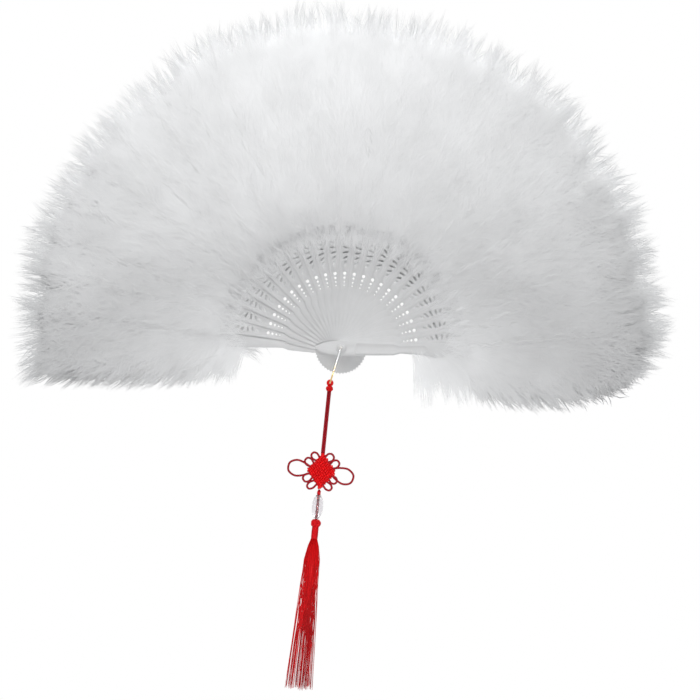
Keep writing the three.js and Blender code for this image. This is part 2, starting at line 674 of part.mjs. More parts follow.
// The woven diamond with two small ears on each side, a large one at the left and right,
// and a collar where the cords enter and leave
function wovenKnot() {
  const solids = [weave()];
  for (const sideX of [-1, 1]) {
    for (const sideZ of [-1, 1]) {
      const outward = new THREE.Vector2(sideX * KNOT_HALF_HEIGHT, sideZ * KNOT_HALF_WIDTH).normalize();
      for (const share of EAR_PLACES) {
        const [x, z] = [sideX * KNOT_HALF_WIDTH * share, sideZ * KNOT_HALF_HEIGHT * (1 - share)];
        solids.push(ear(new THREE.Vector2(x, z), outward, EAR_LENGTH, EAR_WIDTH));
      }
    }
    const corner = new THREE.Vector2(sideX * KNOT_HALF_WIDTH, 0);
    solids.push(ear(corner, new THREE.Vector2(sideX, 0), SIDE_EAR_LENGTH, SIDE_EAR_WIDTH));
  }
  for (const side of [-1, 1]) {
    solids.push(rod(COLLAR_RADIUS, COLLAR_LENGTH, CORD_SIDES, 0, side * KNOT_HALF_HEIGHT));
  }
  const knot = joined(solids);
  knot.translate(0, 0, -KNOT_DROP);
  return knot;
}

// Turned about the tassel's own line, from points of radius and drop
function hung(points) {
  const geometry = turned(points.map(([radius, drop]) => [radius, -drop]));
  geometry.rotateX(Math.PI / 2);
  return geometry;
}

function bead() {
  const bore = boreFor(STEM_RADIUS);
  const half = BEAD_LENGTH / 2;
  const shoulder = BEAD_RADIUS * BEAD_SHOULDER_WIDTH;
  return hung([
    [bore, BEAD_DROP + half],
    [bore + BEAD_LIP, BEAD_DROP + half],
    [shoulder, BEAD_DROP + half * BEAD_SHOULDER_PLACE],
    [BEAD_RADIUS, BEAD_DROP],
    [shoulder, BEAD_DROP - half * BEAD_SHOULDER_PLACE],
    [bore + BEAD_LIP, BEAD_DROP - half],
    [bore, BEAD_DROP - half],
    [bore, BEAD_DROP + half],
  ]);
}

// Cord through the bead, round knob and bound neck
function tasselHead() {
  const stemTop = KNOT_FOOT_DROP + CLEARANCE;
  const firstTurn = Math.asin(STEM_RADIUS / KNOB_RADIUS);
  const lastTurn = Math.PI - Math.asin((NECK_RADIUS - NECK_PINCH) / KNOB_RADIUS);
  const knob = [];
  for (let k = 0; k <= KNOB_STEPS; k += 1) {
    const turn = THREE.MathUtils.lerp(lastTurn, firstTurn, k / KNOB_STEPS);
    knob.push([KNOB_RADIUS * Math.sin(turn), KNOB_DROP - KNOB_RADIUS * Math.cos(turn)]);
  }
  return hung([
    [0, NECK_END_DROP],
    [NECK_RADIUS, NECK_END_DROP],
    [NECK_RADIUS, KNOB_DROP + KNOB_RADIUS],
    ...knob,
    [STEM_RADIUS, stemTop + STEM_ROUND],
    [STEM_RADIUS / 2, stemTop],
    [0, stemTop],
  ]);
}

// Fluted bundle of threads
function tasselSkirt() {
  const top = NECK_END_DROP + CLEARANCE;
  const rings = SKIRT_STATIONS.map((share) => {
    const radius = THREE.MathUtils.lerp(NECK_RADIUS + SKIRT_SWELL, SKIRT_HEM_RADIUS, share ** SKIRT_SPREAD);
    const ring = [];
    for (let k = 0; k < 2 * SKIRT_FLUTES; k += 1) {
      const turn = (Math.PI * k) / SKIRT_FLUTES;
      const reach = radius * (1 + (k % 2 ? -1 : 1) * SKIRT_FLUTE_SHARE);
      const z = -top - SKIRT_LENGTH * share;
      ring.push(new THREE.Vector3(reach * Math.cos(turn), reach * Math.sin(turn), z));
    }
    return ring;
  });
  return loft(rings);
}

// Assembly

const fan = new THREE.Group();

for (let number = 0; number < STICK_COUNT; number += 1) {
  const leaf = new THREE.Group();
  leaf.rotation.y = -(FRONT_ANGLE + SECTOR * number);
  leaf.position.y = levelOf(number);
  const label = String(number).padStart(2, '0');
  if (number === 0) {
    const hanging = guardPlume(number, FRONT_DROOP_LAP, FRONT_DROOP_ROOT, FRONT_DROOP_TIP, -1);
    leaf.add(piece('front_guard', guard(-1), plastic));
    leaf.add(piece('front_guard_plume', hanging, feather));
  } else if (number === LAST) {
    const hanging = guardPlume(number, BACK_DROOP_LAP, BACK_DROOP_ROOT, BACK_DROOP_TIP, 1);
    leaf.add(piece('back_guard', guard(1), plastic));
    leaf.add(piece('back_guard_plume', hanging, feather));
  } else {
    leaf.add(piece(`stick_${label}`, innerStick(), plastic));
    leaf.add(piece(`plume_${label}`, plume(number), feather));
  }
  fan.add(leaf);
}

const ribbonFrame = new THREE.Group();
ribbonFrame.rotation.y = -FRONT_ANGLE;
ribbonFrame.position.y = levelOf(0);
ribbonFrame.add(piece('spacing_ribbon', ribbonStrip(0, LAST, 0, 0), ribbonCloth));
fan.add(ribbonFrame);

fan.add(piece('pivot_tube', pivotTube(), plastic));
const frontWasher = piece('front_washer', washer(), steel);
frontWasher.position.y = -WASHER_FACE - WASHER_THICKNESS;
fan.add(frontWasher);
const backWasher = piece('back_washer', washer(), steel);
backWasher.position.y = WASHER_FACE;
fan.add(backWasher);

const bailFrame = new THREE.Group();
bailFrame.rotation.y = THREE.MathUtils.degToRad(BAIL_LEAN);
bailFrame.add(piece('bail', bail(), steel));
fan.add(bailFrame);

const tassel = new THREE.Group();
tassel.position.set(0, 0, -BAIL_DROP).applyAxisAngle(
  new THREE.Vector3(0, 1, 0), THREE.MathUtils.degToRad(BAIL_LEAN),
);
tassel.rotation.y = THREE.MathUtils.degToRad(TASSEL_LEAN);
tassel.add(piece('hang_cord', hangCord(), redCord));
tassel.add(piece('woven_knot', wovenKnot(), redCord));
tassel.add(piece('bead', bead(), clearBead));
tassel.add(piece('tassel_head', tasselHead(), redCord));
tassel.add(piece('tassel_skirt', tasselSkirt(), redCord));
fan.add(tassel);

export default fan;
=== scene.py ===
"""A folding feather fan, opened to its stop: pierced sticks, down plumes, wire bail and knotted tassel.

All pieces are in metres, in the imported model's frame. A leaf is shaped flat on the bench, with X along
the stick, Y across it and Z towards the front, and is then turned to its own angle on the pivot.
"""
import json
import logging
import math
from dataclasses import dataclass, field, replace
from enum import Enum
from typing import Any, Callable, Sequence

import bpy
import numpy as np
from mathutils import Matrix, Vector

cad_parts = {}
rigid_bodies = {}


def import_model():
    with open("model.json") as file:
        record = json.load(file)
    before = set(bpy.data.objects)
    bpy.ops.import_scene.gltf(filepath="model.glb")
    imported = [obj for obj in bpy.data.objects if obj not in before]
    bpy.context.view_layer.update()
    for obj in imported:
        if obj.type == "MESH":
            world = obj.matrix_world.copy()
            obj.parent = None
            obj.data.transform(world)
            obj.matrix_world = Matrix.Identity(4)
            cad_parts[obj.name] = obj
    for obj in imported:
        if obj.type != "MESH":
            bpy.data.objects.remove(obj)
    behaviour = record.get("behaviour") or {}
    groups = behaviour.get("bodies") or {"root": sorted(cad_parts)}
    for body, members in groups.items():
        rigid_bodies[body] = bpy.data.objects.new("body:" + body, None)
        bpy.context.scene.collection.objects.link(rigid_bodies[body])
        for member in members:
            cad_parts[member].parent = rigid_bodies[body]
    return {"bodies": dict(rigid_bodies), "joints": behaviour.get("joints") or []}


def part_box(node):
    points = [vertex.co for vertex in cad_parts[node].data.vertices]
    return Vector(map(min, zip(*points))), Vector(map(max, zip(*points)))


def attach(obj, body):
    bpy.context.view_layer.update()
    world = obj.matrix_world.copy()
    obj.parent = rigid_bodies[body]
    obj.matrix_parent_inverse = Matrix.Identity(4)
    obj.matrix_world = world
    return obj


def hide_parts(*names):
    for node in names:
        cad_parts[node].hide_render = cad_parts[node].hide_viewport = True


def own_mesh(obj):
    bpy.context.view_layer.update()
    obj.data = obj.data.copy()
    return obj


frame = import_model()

LOG = logging.getLogger("fan")
MM = 0.001
GUARD_THICKNESS = 2.0
CORD_SIDES = 8
Array = np.ndarray
Pair = tuple[float, float]
Row = tuple[float, ...]
Colour = tuple[float, float, float]
Station = tuple[float, float, float]
Piece = bpy.types.Object
Material = bpy.types.Material
Socket = bpy.types.NodeSocket
NodeTree = bpy.types.NodeTree


class Face(Enum):
    """A face of the stack of sticks; the value is its direction along the bench's Z axis."""

    FRONT = 1
    BACK = -1


class Slot(Enum):
    """The record's material slots."""

    PLASTIC = "white_plastic"
    FEATHER = "white_feather"
    RIBBON = "white_ribbon"
    WIRE = "bail_wire"
    CORD = "red_cord"
    BEAD = "clear_bead"


def unit(vectors: Array) -> Array:
    """Scale the vectors on an array's last axis to length one."""
    return vectors / np.maximum(np.linalg.norm(vectors, axis=-1, keepdims=True), 1e-12)


def ramp(value: Any, low: float, high: float) -> Any:
    """Ease a number or array from 0 at a low value to 1 at a high one."""
    share = np.clip((value - low) / (high - low), 0.0, 1.0)
    return share * share * (3 - 2 * share)


def points_of(mesh: bpy.types.Mesh) -> Array:
    """Read a mesh's vertices.

    Args:
        mesh: The mesh.

    Returns:
        Array of points, one row each.
    """
    flat = np.empty(len(mesh.vertices) * 3)
    mesh.vertices.foreach_get("co", flat)
    return flat.reshape(-1, 3)


@dataclass
class Facets:
    """Loose arrays that become one mesh: points, corner indices, corners per face and what they carry."""

    points: list[Array] = field(default_factory=list)
    corners: list[Array] = field(default_factory=list)
    sizes: list[Array] = field(default_factory=list)
    tints: list[Array] = field(default_factory=list)
    lays: list[Array] = field(default_factory=list)
    count: int = 0

    def add(self, points: Array, corners: Array, sizes: Array,
            tints: Array, lays: Array) -> None:
        """Take in one shape.

        Args:
            points: Its points, one row each.
            corners: Point index of each face corner.
            sizes: Number of corners of each face.
            tints: Shade of each point.
            lays: Surface coordinates of each corner.
        """
        self.points.append(points)
        self.corners.append(corners + self.count)
        self.sizes.append(sizes)
        self.tints.append(tints)
        self.lays.append(lays)
        self.count += len(points)

    def make(self, name: str, map_name: str) -> Piece:
        """Turn what was taken in into an object.

        Args:
            name: Name of the object.
            map_name: Name of the surface map.

        Returns:
            The object, smooth and linked to the scene.
        """
        points, corners = np.concatenate(self.points), np.concatenate(self.corners)
        sizes = np.concatenate(self.sizes)
        mesh = bpy.data.meshes.new(name)
        mesh.vertices.add(len(points))
        mesh.vertices.foreach_set("co", points.astype(np.float32).ravel())
        mesh.loops.add(len(corners))
        mesh.loops.foreach_set("vertex_index", corners.astype(np.int32))
        mesh.polygons.add(len(sizes))
        starts = np.concatenate(([0], np.cumsum(sizes)[:-1]))
        mesh.polygons.foreach_set("loop_start", starts.astype(np.int32))
        mesh.update(calc_edges=True)
        mesh.validate()
        lay = mesh.uv_layers.new(name=map_name)
        lay.data.foreach_set("uv", np.concatenate(self.lays).astype(np.float32).ravel())
        tint = mesh.attributes.new("tint", "FLOAT", "POINT")
        tint.data.foreach_set("value", np.concatenate(self.tints).astype(np.float32))
        mesh.shade_smooth()
        obj = bpy.data.objects.new(name, mesh)
        bpy.context.collection.objects.link(obj)
        return obj


class Bench:
    """The hand tools that the pieces are made with."""

    FAR = 10.0
    CREASE = math.radians(50)
    MERGED = 1e-6

    @staticmethod
    def clear() -> None:
        """Leave edit mode and deselect everything."""
        active = bpy.context.view_layer.objects.active
        if active is not None and active.mode != "OBJECT":
            bpy.ops.object.mode_set(mode="OBJECT")
        bpy.ops.object.select_all(action="DESELECT")

    @staticmethod
    def take(obj: Piece) -> None:
        """Select one object alone and make it active.

        Args:
            obj: The object.
        """
        Bench.clear()
        obj.select_set(True)
        bpy.context.view_layer.objects.active = obj

    @staticmethod
    def edit(obj: Piece) -> None:
        """Open an object in edit mode with all of it selected.

        Args:
            obj: The object.
        """
        Bench.take(obj)
        bpy.ops.object.mode_set(mode="EDIT")
        bpy.ops.mesh.select_mode(type="VERT")
        bpy.ops.mesh.select_all(action="SELECT")

    @staticmethod
    def pick(obj: Piece, test: Callable[[Array], Array]) -> None:
        """Select, in edit mode, the vertices whose places pass a test.

        Args:
            obj: Object that is open in edit mode.
            test: Gives a flag for each row of an array of points.
        """
        bpy.ops.object.mode_set(mode="OBJECT")
        mesh = obj.data
        mesh.polygons.foreach_set("select", np.zeros(len(mesh.polygons), bool))
        mesh.edges.foreach_set("select", np.zeros(len(mesh.edges), bool))
        mesh.vertices.foreach_set("select", test(points_of(mesh)))
        bpy.ops.object.mode_set(mode="EDIT")

    @staticmethod
    def apply(obj: Piece, kind: str, **settings: Any) -> None:
        """Add a modifier, set it and apply it.

        Args:
            obj: Object to work on.
            kind: Kind of modifier.
            settings: Its properties.
        """
        Bench.take(obj)
        modifier = obj.modifiers.new(kind.title(), kind)
        for name, value in settings.items():
            setattr(modifier, name, value)
        bpy.ops.object.modifier_apply(modifier=modifier.name)

    @staticmethod
    def settle(obj: Piece) -> None:
        """Put an object's place, turn and size into its mesh."""
        Bench.take(obj)
        bpy.ops.object.transform_apply(location=True, rotation=True, scale=True)

    @staticmethod
    def strip(name: str, stations: Sequence[Station], rows: int = 1,
              depth: float = 0.0) -> Piece:
        """Shape a flat grid, or a slab of it, station by station.

        Args:
            name: Name of the object.
            stations: Place along X, and lower and upper edge across, in turn.
            rows: Number of faces across.
            depth: Half the thickness before shaping, or 0 for a flat strip.

        Returns:
            The object.
        """
        Bench.clear()
        cells = len(stations) - 1
        bpy.ops.mesh.primitive_grid_add(x_subdivisions=cells, y_subdivisions=rows, size=2)
        obj = bpy.context.object
        obj.name = name
        if depth:
            Bench.apply(obj, "SOLIDIFY", thickness=2 * depth, offset=0)
        Bench.edit(obj)
        bpy.ops.transform.resize(value=(cells / 2, 1, 1), center_override=(0, 0, 0))
        bpy.ops.transform.translate(value=(Bench.FAR + cells / 2, 0, 0))
        for number, (along, low, high) in enumerate(stations):
            place = Bench.FAR + number
            Bench.pick(obj, lambda at, x=place: np.abs(at[:, 0] - x) < 0.5)
            bpy.ops.transform.resize(value=(1, (high - low) / 2, 1), center_override=(place, 0, 0))
            bpy.ops.transform.translate(value=(along - place, (low + high) / 2, 0))
        bpy.ops.object.mode_set(mode="OBJECT")
        return obj

    @staticmethod
    def turned(name: str, profile: Sequence[Pair], steps: int) -> Piece:
        """Spin a profile about Z.

        Args:
            name: Name of the object.
            profile: Radius and height of each point, in turn.
            steps: Number of steps round.

        Returns:
            The smooth, closed object.
        """
        Bench.clear()
        bpy.ops.mesh.primitive_plane_add(size=1)
        obj = bpy.context.object
        obj.name = name
        Bench.edit(obj)
        bpy.ops.mesh.merge(type="CENTER")
        last = np.zeros(2)
        for number, point in enumerate(np.asarray(profile)):
            step = (point[0] - last[0], 0, point[1] - last[1])
            if number == 0:
                bpy.ops.transform.translate(value=step)
            else:
                bpy.ops.mesh.extrude_region_move(TRANSFORM_OT_translate={"value": step})
            last = point
        bpy.ops.mesh.select_all(action="SELECT")
        bpy.ops.mesh.spin(steps=steps, angle=math.tau, center=(0, 0, 0), axis=(0, 0, 1))
        bpy.ops.mesh.select_all(action="SELECT")
        bpy.ops.mesh.remove_doubles(threshold=Bench.MERGED)
        bpy.ops.mesh.normals_make_consistent(inside=False)
        bpy.ops.object.mode_set(mode="OBJECT")
        bpy.ops.object.shade_smooth_by_angle(angle=Bench.CREASE)
        return obj

    @staticmethod
    def join(first: Piece, *others: Piece) -> Piece:
        """Join objects into the first.

        Args:
            first: Object that takes in the others.
            others: The others, which are used up.

        Returns:
            The first object.
        """
        Bench.take(first)
        for other in others:
            other.select_set(True)
        bpy.ops.object.join()
        return first

    @staticmethod
    def copy(template: Piece, name: str, place: Matrix) -> Piece:
        """Copy a template with a mesh of its own, moved to its place.

        Args:
            template: The shape, modelled once.
            name: Name of the copy.
            place: Where its mesh goes.

        Returns:
            The copy, at the origin.
        """
        mesh = template.data.copy()
        mesh.name = name
        mesh.transform(place)
        obj = bpy.data.objects.new(name, mesh)
        bpy.context.collection.objects.link(obj)
        return obj

    @staticmethod
    def discard(*objects: Piece) -> None:
        """Remove templates and cutters.

        Args:
            objects: What is removed.
        """
        Bench.clear()
        for obj in objects:
            bpy.data.objects.remove(obj)

    @staticmethod
    def lay(obj: Piece, flat: Callable[[Array], Array]) -> None:
        """Give a piece its surface map.

        Args:
            obj: The piece.
            flat: Gives the map's coordinates for the corners' places in millimetres.
        """
        mesh = obj.data
        lay = mesh.uv_layers.get("lay") or mesh.uv_layers.new(name="lay")
        index = np.empty(len(mesh.loops), np.int32)
        mesh.loops.foreach_get("vertex_index", index)
        lay.data.foreach_set("uv", flat(points_of(mesh)[index] / MM).astype(np.float32).ravel())

    @staticmethod
    def flat_map(obj: Piece) -> None:
        """Map a piece that lies flat on the bench by its X and Y."""
        Bench.lay(obj, lambda at: at[:, :2])


def strand(facets: Facets, path: Array, radius: float | Array, sides: int, tint: float = 1.0,
           ring: bool = False) -> None:
    """Add a round strand along a path, closed at its ends or into a ring.

    Args:
        facets: What it is added to.
        path: Points of its centre line, in millimetres.
        radius: Its radius, or one for each point.
        sides: Number of sides.
        tint: Shade of the strand.
        ring: Whether the last point joins the first.
    """
    count = len(path)
    behind, ahead = np.roll(path, 1, 0), np.roll(path, -1, 0)
    if not ring:
        behind[0], ahead[-1] = path[0], path[-1]
    tangents = unit(ahead - behind)
    first = np.array([0.0, 1.0, 0.0]) if abs(tangents[0][1]) < 0.9 else np.array([1.0, 0.0, 0.0])
    normals = [unit(first - tangents[0] * (first @ tangents[0]))]
    for tangent in tangents[1:]:
        normals.append(unit(normals[-1] - tangent * (normals[-1] @ tangent)))
    normal = np.array(normals)
    across = np.cross(tangents, normal)
    turn = np.arange(sides) * math.tau / sides
    radii = np.broadcast_to(np.asarray(radius, float), (count,))[:, None, None]
    offsets = np.cos(turn)[None, :, None] * normal[:, None] + np.sin(turn)[None, :, None] * across[:, None]
    points = (path[:, None] + radii * offsets).reshape(-1, 3) * MM
    spans = count if ring else count - 1
    run = np.concatenate(([0.0], np.cumsum(np.linalg.norm(ahead - path, axis=1))))
    r, s = np.meshgrid(np.arange(spans), np.arange(sides), indexing="ij")
    after, beside = (r + 1) % count, (s + 1) % sides
    quads = np.stack([r * sides + s, r * sides + beside, after * sides + beside, after * sides + s], -1)
    lay_u = np.stack([s, s + 1, s + 1, s], -1) / sides
    lay_v = np.stack([run[r], run[r], run[r + 1], run[r + 1]], -1)
    corners, lays = quads.ravel(), np.stack([lay_u.ravel(), lay_v.ravel()], -1)
    sizes = np.full(spans * sides, 4)
    if not ring:
        ends = np.concatenate([np.arange(sides)[::-1], np.arange(sides) + (count - 1) * sides])
        corners = np.concatenate([corners, ends])
        lays = np.concatenate([lays, np.zeros((2 * sides, 2))])
        sizes = np.concatenate([sizes, [sides, sides]])
    facets.add(points, corners, sizes, np.full(len(points), tint), lays)


def winding(radius: Any, turn: Array, height: Array) -> Array:
    """Wind a path round an upright line, from the radius, turn and height of each point."""
    return np.stack([radius * np.cos(turn), radius * np.sin(turn), height], -1)


def upright(height: Array) -> Array:
    """Draw a path straight along the line, through each height."""
    return winding(0.0, np.zeros(len(height)), height)


def through(points: Sequence[Sequence[float]], steps: int) -> Array:
    """Draw a smooth curve through points.

    Args:
        points: The points, in turn.
        steps: Number of steps between neighbours.

    Returns:
        Points of the curve.
    """
    given = np.asarray(points, float)
    padded = np.concatenate([2 * given[:1] - given[1:2], given, 2 * given[-1:] - given[-2:-1]])
    drawn = []
    for a, b, c, d in zip(padded, padded[1:], padded[2:], padded[3:]):
        t = np.arange(steps)[:, None] / steps
        drawn.append(0.5 * (2 * b + (c - a) * t + (2 * a - 5 * b + 4 * c - d) * t ** 2
                            + (3 * b - a - 3 * c + d) * t ** 3))
    return np.concatenate([*drawn, given[-1:]])


class Tree:
    """A node tree with short words for adding and linking nodes."""

    def __init__(self, tree: NodeTree) -> None:
        """Hold a tree."""
        self.tree = tree

    def add(self, kind: str, inputs: dict[str | int, Any] | None = None, **settings: Any) -> bpy.types.Node:
        """Add a node, set it and link or set its inputs.

        Args:
            kind: Node type, without its ShaderNode prefix.
            inputs: Value, or socket to link, for each input by name or number.
            settings: The node's own properties.

        Returns:
            The node.
        """
        node = self.tree.nodes.new(kind if kind.startswith("Node") else "ShaderNode" + kind)
        for name, value in settings.items():
            setattr(node, name, value)
        for name, value in (inputs or {}).items():
            if isinstance(value, Socket):
                self.tree.links.new(value, node.inputs[name])
            else:
                node.inputs[name].default_value = value
        return node

    def math(self, operation: str, *values: Any) -> Socket:
        """Add a Math node on numbers or sockets and give its output."""
        return self.add("Math", dict(enumerate(values)), operation=operation).outputs[0]

    def mix(self, factor: Any, a: Any, b: Any) -> Socket:
        """Mix two colours.

        Args:
            factor: Share of the second, a number or a socket.
            a: First colour or socket.
            b: Second colour or socket.

        Returns:
            The mixed colour.
        """
        colours = [value if isinstance(value, Socket) else (*value, 1) for value in (a, b)]
        node = self.add("Mix", {0: factor, 6: colours[0], 7: colours[1]}, data_type="RGBA")
        return node.outputs[2]

    def scaled(self, colour: Socket, value: Socket) -> Socket:
        """Multiply a colour by a value."""
        return self.add("VectorMath", {0: colour, 3: value}, operation="SCALE").outputs[0]


class Effects:
    """Shared effects, each a node group that is built once."""

    @staticmethod
    def group(name: str, inputs: dict[str, str], outputs: dict[str, str]) -> tuple[Tree, Any, Any] | None:
        """Start a node group unless it exists.

        Args:
            name: Name of the group.
            inputs: Kind of socket for each input.
            outputs: Kind of socket for each output.

        Returns:
            The tree with its input and output nodes, or None where the group exists.
        """
        if name in bpy.data.node_groups:
            return None
        tree = bpy.data.node_groups.new(name, "ShaderNodeTree")
        for words, way in ((inputs, "INPUT"), (outputs, "OUTPUT")):
            for word, kind in words.items():
                tree.interface.new_socket(word, in_out=way, socket_type="NodeSocket" + kind)
        made = Tree(tree)
        return made, made.add("NodeGroupInput"), made.add("NodeGroupOutput")

    @staticmethod
    def mottle() -> NodeTree:
        """Soft uneven shade over a surface, about 1 and lower by up to a depth.

        Returns:
            The group.
        """
        begun = Effects.group("Mottle", {"Vector": "Vector", "Fineness": "Float", "Depth": "Float"},
                              {"Shade": "Float"})
        if begun:
            tree, given, out = begun
            noise = tree.add("TexNoise", {"Vector": given.outputs[0], "Scale": given.outputs[1],
                                          "Detail": 3.0, "Roughness": 0.55})
            spread = tree.add("MapRange", {0: noise.outputs[0], 1: 0.3, 2: 0.7, 3: 1.0, 4: 0.0})
            lost = tree.math("MULTIPLY", spread.outputs[0], given.outputs[2])
            tree.tree.links.new(tree.math("SUBTRACT", 1.0, lost), out.inputs[0])
        return bpy.data.node_groups["Mottle"]

    @staticmethod
    def grain() -> NodeTree:
        """Fine lines that run along the first direction of a surface map.

        Returns:
            The group.
        """
        given_words = {"Vector": "Vector", "Stretch": "Float", "Fineness": "Float"}
        begun = Effects.group("Lengthwise Grain", given_words, {"Height": "Float"})
        if begun:
            tree, given, out = begun
            parts = tree.add("SeparateXYZ", {0: given.outputs[0]})
            drawn = tree.math("DIVIDE", parts.outputs[0], given.outputs[1])
            place = tree.add("CombineXYZ", {0: drawn, 1: parts.outputs[1]})
            noise = tree.add("TexNoise", {"Vector": place.outputs[0], "Scale": given.outputs[2],
                                          "Detail": 4.0, "Roughness": 0.6})
            tree.tree.links.new(noise.outputs[0], out.inputs[0])
        return bpy.data.node_groups["Lengthwise Grain"]

    @staticmethod
    def twist() -> NodeTree:
        """Strands that wind round a cord, from a map of turns round it and millimetres along it.

        Returns:
            The group.
        """
        begun = Effects.group("Cord Twist", {"Vector": "Vector", "Strands": "Float", "Pitch": "Float"},
                              {"Height": "Float"})
        if begun:
            tree, given, out = begun
            parts = tree.add("SeparateXYZ", {0: given.outputs[0]})
            round_it = tree.math("MULTIPLY", parts.outputs[0], given.outputs[1])
            along = tree.math("DIVIDE", parts.outputs[1], given.outputs[2])
            turn = tree.math("MULTIPLY", tree.math("ADD", round_it, along), math.pi)
            tree.tree.links.new(tree.math("ABSOLUTE", tree.math("SINE", turn)), out.inputs[0])
        return bpy.data.node_groups["Cord Twist"]


class Finish:
    """What every finish does: start a material, place effects and close it with its shader."""

    @staticmethod
    def start(name: str) -> tuple[Material, Tree]:
        """Start an empty node material.

        Args:
            name: Name of the material.

        Returns:
            The material and its tree.
        """
        material = bpy.data.materials.new(name)
        material.use_nodes = True
        material.node_tree.nodes.clear()
        return material, Tree(material.node_tree)

    @staticmethod
    def place(tree: Tree) -> Socket:
        """Give Object coordinates."""
        return tree.add("TexCoord").outputs["Object"]

    @staticmethod
    def lay(tree: Tree) -> Socket:
        """Give the piece's own surface map."""
        return tree.add("UVMap", uv_map="lay").outputs[0]

    @staticmethod
    def effect(tree: Tree, group: NodeTree, *values: Any) -> Socket:
        """Place an effect with its inputs, in turn, and give its output."""
        return tree.add("Group", dict(enumerate(values)), node_tree=group).outputs[0]

    @staticmethod
    def mottled(tree: Tree, fineness: float, depth: float) -> Socket:
        """Place the mottle on Object coordinates and give its shade."""
        return Finish.effect(tree, Effects.mottle(), Finish.place(tree), fineness, depth)

    @staticmethod
    def tint(tree: Tree) -> Socket:
        """Give the shade that each point carries."""
        return tree.add("Attribute", attribute_name="tint").outputs["Fac"]

    @staticmethod
    def fall(tree: Tree, start: float, end: float) -> Socket:
        """Rise from 0 to 1 between a start height and an end height."""
        height = tree.add("SeparateXYZ", {0: Finish.place(tree)}).outputs[2]
        return tree.add("MapRange", {0: height, 1: start, 2: end}).outputs[0]

    @staticmethod
    def bump(tree: Tree, height: Socket, distance: float,
             strength: float) -> Socket:
        """Raise a surface by a height, with the relief's depth in metres and the share that shows."""
        return tree.add("Bump", {"Height": height, "Distance": distance, "Strength": strength}).outputs[0]

    @staticmethod
    def close(tree: Tree, inputs: dict[str, Any]) -> None:
        """Add the shader with its inputs, and the output."""
        shader = tree.add("BsdfPrincipled", inputs)
        tree.add("OutputMaterial", {0: shader.outputs[0]})


@dataclass(frozen=True)
class DownFinish:
    """Soft white down, painted a little darker towards where the barbs grow, as shade among the roots."""

    tip: Colour = (0.93, 0.935, 0.94)
    # Lower tints pull towards the root colour: painted shade at the barbs' roots and on the rim wisps, and
    # the down's random tone.
    root: Colour = (0.55, 0.555, 0.565)
    mottle: Pair = (22.0, 0.07)
    roughness: float = 0.75
    sheen: float = 0.2
    specular: float = 0.25
    passed: float = 0.93

    def material(self) -> Material:
        """Make the material, which lets a share of the lamps' light through as thin down does.

        Returns:
            The material.
        """
        material, tree = Finish.start("White Down")
        shade = Finish.mottled(tree, *self.mottle)
        # Base colour: the tint mixes the root colour, painted shade, with the tip colour.
        shader = tree.add("BsdfPrincipled", {
            "Base Color": tree.scaled(tree.mix(Finish.tint(tree), self.root, self.tip), shade),
            "Roughness": tree.math("MULTIPLY", shade, self.roughness),
            "Sheen Weight": self.sheen, "Specular IOR Level": self.specular})
        share = tree.math("MULTIPLY", tree.add("LightPath").outputs["Is Shadow Ray"], self.passed)
        clear = tree.add("BsdfTransparent")
        mixed = tree.add("MixShader", {0: share, 1: shader.outputs[0], 2: clear.outputs[0]})
        tree.add("OutputMaterial", {0: mixed.outputs[0]})
        return material


@dataclass(frozen=True)
class PlasticFinish:
    """Moulded white plastic with a soft sheen and faint lengthwise flow lines."""

    colour: Colour = (0.76, 0.765, 0.77)
    worn: Colour = (0.62, 0.625, 0.635)
    mottle: Pair = (60.0, 0.06)
    grain: Pair = (30.0, 1.6)
    wear: float = 0.45
    roughness: Pair = (0.34, 0.16)
    relief: Pair = (0.00012, 0.5)

    def material(self) -> Material:
        """Make the material.

        Returns:
            The material.
        """
        material, tree = Finish.start("White Moulded Plastic")
        lines = Finish.effect(tree, Effects.grain(), Finish.lay(tree), *self.grain)
        shade = Finish.mottled(tree, *self.mottle)
        base = tree.mix(tree.math("MULTIPLY", lines, self.wear), self.colour, self.worn)
        least, more = self.roughness
        rough = tree.math("ADD", tree.math("MULTIPLY", lines, more), least)
        Finish.close(tree, {"Base Color": tree.scaled(base, shade), "Roughness": rough,
                            "Normal": Finish.bump(tree, lines, *self.relief)})
        return material


@dataclass(frozen=True)
class WireFinish:
    """Polished wire, silver above and gold below, where the plating has another tone."""

    silver: Colour = (0.86, 0.87, 0.88)
    gold: Colour = (0.80, 0.56, 0.24)
    change: Pair = (-12 * MM, -22 * MM)
    mottle: Pair = (900.0, 0.12)
    roughness: float = 0.2

    def material(self) -> Material:
        """Make the material.

        Returns:
            The material.
        """
        material, tree = Finish.start("Bail Wire")
        shade = Finish.mottled(tree, *self.mottle)
        colour = tree.mix(Finish.fall(tree, *self.change), self.silver, self.gold)
        rough = tree.math("DIVIDE", self.roughness, shade)
        Finish.close(tree, {"Base Color": tree.scaled(colour, shade), "Roughness": rough, "Metallic": 1.0})
        return material


@dataclass(frozen=True)
class PearlFinish:
    """Smooth pearly white of the small balls that close the bail's ends."""

    colour: Colour = (0.86, 0.855, 0.84)
    warm: Colour = (0.84, 0.80, 0.78)
    mottle: Pair = (500.0, 1.0)
    roughness: float = 0.18
    coat: float = 0.6

    def material(self) -> Material:
        """Make the material.

        Returns:
            The material.
        """
        material, tree = Finish.start("Pearl Ball")
        colour = tree.mix(Finish.mottled(tree, *self.mottle), self.warm, self.colour)
        Finish.close(tree, {"Base Color": colour, "Roughness": self.roughness, "Coat Weight": self.coat})
        return material


